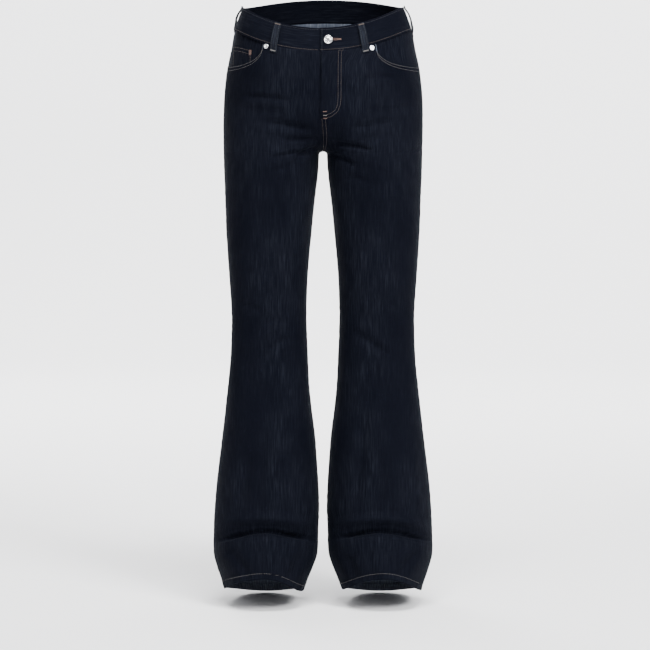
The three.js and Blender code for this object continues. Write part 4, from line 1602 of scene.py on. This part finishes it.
    def panel_rows(self) -> None:
        """Sews the inseams, rises, yokes, scoops, side seams and hems."""
        grids, top = self.panels.grids, self.panels.rows()
        crotch = int(np.searchsorted(top, SHAPE.crotch))
        fly = int(np.searchsorted(top, SHAPE.fly_bottom - self.under_fly))
        below, above = slice(0, crotch - self.crotch_clear[0]), crotch + self.crotch_clear[1]
        scoop = slice(self.panels.scoop_column + 1, None)
        for side in Side:
            front, back = grids["front", side], grids["back", side]
            yoke, hem = grids["yoke", side], grids["hem", side]
            for distance in self.twin:
                self.row("brown", front.line_beside(1, False, distance, below))
                self.row("brown", yoke.line_beside(0, False, distance))
                self.row("grey", front.line_beside(0, True, distance - self.scoop_nearer, scoop))
                if side is Side.LEFT:
                    self.row("brown", front.line_beside(1, False, distance, slice(above, fly)))
                    self.row("brown", back.line_beside(1, True, distance, slice(above, None)))
                    self.row("brown", yoke.line_beside(1, True, distance))
            self.row("brown", back.line_beside(1, False, self.edge, slice(fly - self.hip_rows, None)))
            self.row("brown", yoke.line_beside(1, False, self.edge))
            self.row("grey", hem.line_beside(0, True, self.edge))

    def band_rows(self) -> None:
        """Sews the waistband's edges and the belt loops with their bar tacks."""
        band = self.band.grids["band"]
        showing = slice(self.band.first_showing, None)
        self.row("brown", band.line_beside(0, False, self.band_edge, showing))
        self.row("navy", band.line_beside(0, True, self.band_edge, showing))
        self.row("navy", band.line_beside(1, True, self.band_edge))
        for grid in (self.band.grids["loop", loop[0]] for loop in self.band.loops):
            for at_end in (False, True):
                self.row("navy", grid.line_beside(1, at_end, self.loop_edge))
            middle = grid.points.shape[1] // 2
            for row, thread in self.loop_tacks:
                centre = grid.points[row, middle]
                along = grid.points[row, -1] - grid.points[row, 0]
                up = grid.points[row + 1, middle] - grid.points[row - 1, middle]
                self.tack(thread, centre, along, np.cross(along, up), *self.loop_tack)

    def fly_rows(self) -> None:
        """Sews the fly's double hook of stitches, its bar tacks and the buttonhole."""
        tree = self.panels.grids["front", Side.LEFT].tree()
        for xs, zs in self.hook_knots:
            fine = np.linspace(0, len(xs) - 1, 60)
            knots = np.arange(len(xs))
            self.row("brown", self.on_cloth(np.interp(fine, knots, xs), np.interp(fine, knots, zs), tree)[0])
        for z, thread in self.fly_tacks:
            line, normal = self.on_cloth(self.fly_tack_span, (z, z), tree)
            self.tack(thread, line.mean(0), line[1] - line[0], normal.mean(0), *self.fly_tack)
        near_end = ClothGrid(self.band.grids["band"].points[:, -self.band.lap_columns:]).tree()
        start, end, level = self.hole
        count = self.hole_stitches
        upright = np.array((0.15, 0, 1.0))
        for lip in (-self.hole_lip, self.hole_lip):
            line, normal = self.on_cloth(np.linspace(start, end, count + 1), np.full(count + 1, level + lip),
                                         near_end)
            for k in range(count):
                middle = (line[k] + line[k + 1]) / 2 + 0.2 * normal[k]
                self.stitch("rust", middle, upright, normal[k], *self.hole_stitch)
        reach, length, width = self.hole_tack
        line, normal = self.on_cloth((end, end + reach), (level, level), near_end)
        self.tack("rust", line.mean(0), line[1] - line[0], normal.mean(0), length, width)

    def pocket_rows(self) -> None:
        """Sews the coin pocket and the back pockets with their bar tacks."""
        coin = self.pockets.grids["coin"]
        for distance in (self.edge, self.twin[1]):
            self.row("brown", coin.line_beside(0, True, distance))
        for at_end in (False, True):
            self.row("brown", coin.line_beside(1, at_end, self.coin_edge))
        up, across = coin.points[-1, 1] - coin.points[-8, 1], coin.points[-4, 4] - coin.points[-4, 0]
        out = np.cross(up, across) / np.linalg.norm(np.cross(up, across))
        self.tack("rust", coin.points[-4, 1] + 0.3 * out, up, out, *self.coin_tack)
        for side in Side:
            patch = self.pockets.grids["patch", side]
            for distance in self.patch_twin:
                for at_end in (False, True):
                    self.row("brown", patch.line_beside(1, at_end, distance))
                self.row("brown", patch.line_beside(0, False, distance))
            for distance in self.patch_mouth:
                self.row("brown", patch.line_beside(0, True, distance))
            for inward in (3, -4):
                top, below = patch.points[-2, inward], patch.points[-7, inward]
                self.tack("rust", (top + below) / 2, top - below, top - self.inside(top), *self.patch_tack)

    def build(self) -> None:
        """Sews everything and makes one piece of each thread."""
        self.panel_rows()
        self.band_rows()
        self.fly_rows()
        self.pocket_rows()
        for thread in list(self.open):
            self.gather(thread)
        for thread, material in self.tailor.finishes.threads.items():
            self.tailor.finish_piece(self.sewn[thread], f"{thread}_stitches", None, Slot.THREAD, (material,))


@dataclass
class Studio:
    """The plain pale room, its soft light and the camera, in metres and degrees.

    Attributes:
        paper: Half the width of the backdrop, its near end, the start of its bend, the bend's radius and
            the height of its top.
        lamps: Name, place, aim, size and watts of each lamp.
        air: Colour of the light from all round.
    """

    finishes: Finishes
    distance: float = 5.0
    eye_height: float = 0.86
    eye_aside: float = 0.0037
    tilt: float = 3.97
    lens: float = 151.6
    sensor: float = 36
    far_clip: float = 60
    paper: tuple[float, float, float, float, float] = (9, -9, 5.2, 1.8, 6)
    curve_steps: int = 23
    lamps: tuple = (("key", (2.7, -3.8, 2.3), (0, 0, -0.5), (1.8, 1.6), 430),
                    ("fill", (-2.8, -4.2, 1.4), (0, 0, -0.5), (2.4, 2.2), 76),
                    ("top", (0.2, -2.2, 3.3), (0, 0.1, -0.4), (2.4, 1.0), 375),
                    ("wall right", (2.8, 3.0, 2.8), (0.9, 7.0, 0.3), (3.0, 2.0), 430),
                    ("wall left", (-2.8, 3.0, 2.8), (-0.9, 7.0, 0.3), (3.0, 2.0), 330),
                    ("back", (-1.8, 4.4, 2.6), (0, 0, -0.4), (2.0, 1.6), 170))
    air: tuple[float, float, float, float] = (0.95, 0.97, 1, 1)
    air_strength: float = 0.45

    def camera(self) -> None:
        """Places the camera as the photograph was taken."""
        data = bpy.data.cameras.new("studio camera")
        data.lens = self.lens
        data.sensor_width = self.sensor
        data.clip_end = self.far_clip
        camera = bpy.data.objects.new("studio camera", data)
        camera.location = (self.eye_aside, -self.distance, self.eye_height - SHAPE.hold_height * MM)
        camera.rotation_euler = (math.radians(90 - self.tilt), 0, 0)
        bpy.context.scene.collection.objects.link(camera)
        bpy.context.scene.camera = camera

    def backdrop(self) -> None:
        """A sheet of paper that runs from the floor up the wall in one curve."""
        bm = bmesh.new()
        floor = -SHAPE.hold_height * MM
        half, near, far, bend, high = self.paper
        ends = [bm.verts.new((-half, y, floor)) for y in (near, far)]
        curve = [bm.verts.new((-half, far + bend * math.sin(a), floor + bend - bend * math.cos(a)))
                 for a in np.linspace(0, math.pi / 2, self.curve_steps + 1)[1:]]
        path = ends + curve + [bm.verts.new((-half, far + bend, high))]
        edges = [bm.edges.new(pair) for pair in zip(path, path[1:])]
        drawn = bmesh.ops.extrude_edge_only(bm, edges=edges)["geom"]
        bmesh.ops.translate(bm, vec=(2 * half, 0, 0),
                            verts=[v for v in drawn if isinstance(v, bmesh.types.BMVert)])
        bmesh.ops.recalc_face_normals(bm, faces=bm.faces)
        mesh = bpy.data.meshes.new("paper backdrop")
        for polygon in bm.faces:
            polygon.smooth = True
        bm.to_mesh(mesh)
        bm.free()
        mesh.materials.append(self.finishes.studio)
        sheet = bpy.data.objects.new("paper backdrop", mesh)
        bpy.context.scene.collection.objects.link(sheet)

    def lamp(self, name: str, place: Triple, aim: Triple, size: tuple[float, float],
             power: float) -> None:
        """A soft area lamp.

        Args:
            name: Name of the lamp.
            place: Where it stands.
            aim: The point that it looks at.
            size: Its width and height.
            power: Its power in watts.
        """
        data = bpy.data.lights.new(name, "AREA")
        data.shape = "RECTANGLE"
        data.size, data.size_y = size
        data.energy = power
        lamp = bpy.data.objects.new(name, data)
        lamp.location = place
        lamp.rotation_euler = (Vector(aim) - Vector(place)).to_track_quat("-Z", "Y").to_euler()
        bpy.context.scene.collection.objects.link(lamp)

    def build(self) -> None:
        """Sets up the room, the lamps and the camera."""
        self.backdrop()
        for lamp in self.lamps:
            self.lamp(*lamp)
        world = bpy.data.worlds.new("studio air")
        world.use_nodes = True
        light = world.node_tree.nodes["Background"]
        light.inputs["Color"].default_value = self.air
        light.inputs["Strength"].default_value = self.air_strength
        bpy.context.scene.world = world
        self.camera()


def main() -> None:
    """Builds the jeans and the studio around them."""
    finishes = Finishes()
    Studio(finishes).build()
    tailor = Tailor(finishes)
    panels = Panels(tailor)
    panels.build()
    band = Waistband(tailor)
    band.build()
    pockets = Pockets(tailor, panels)
    pockets.build()
    Metalwork(tailor, panels).build()
    Seamstress(tailor, panels, band, pockets).build()
    log.info("jeans are dressed")


if __name__ == "__main__":
    main()
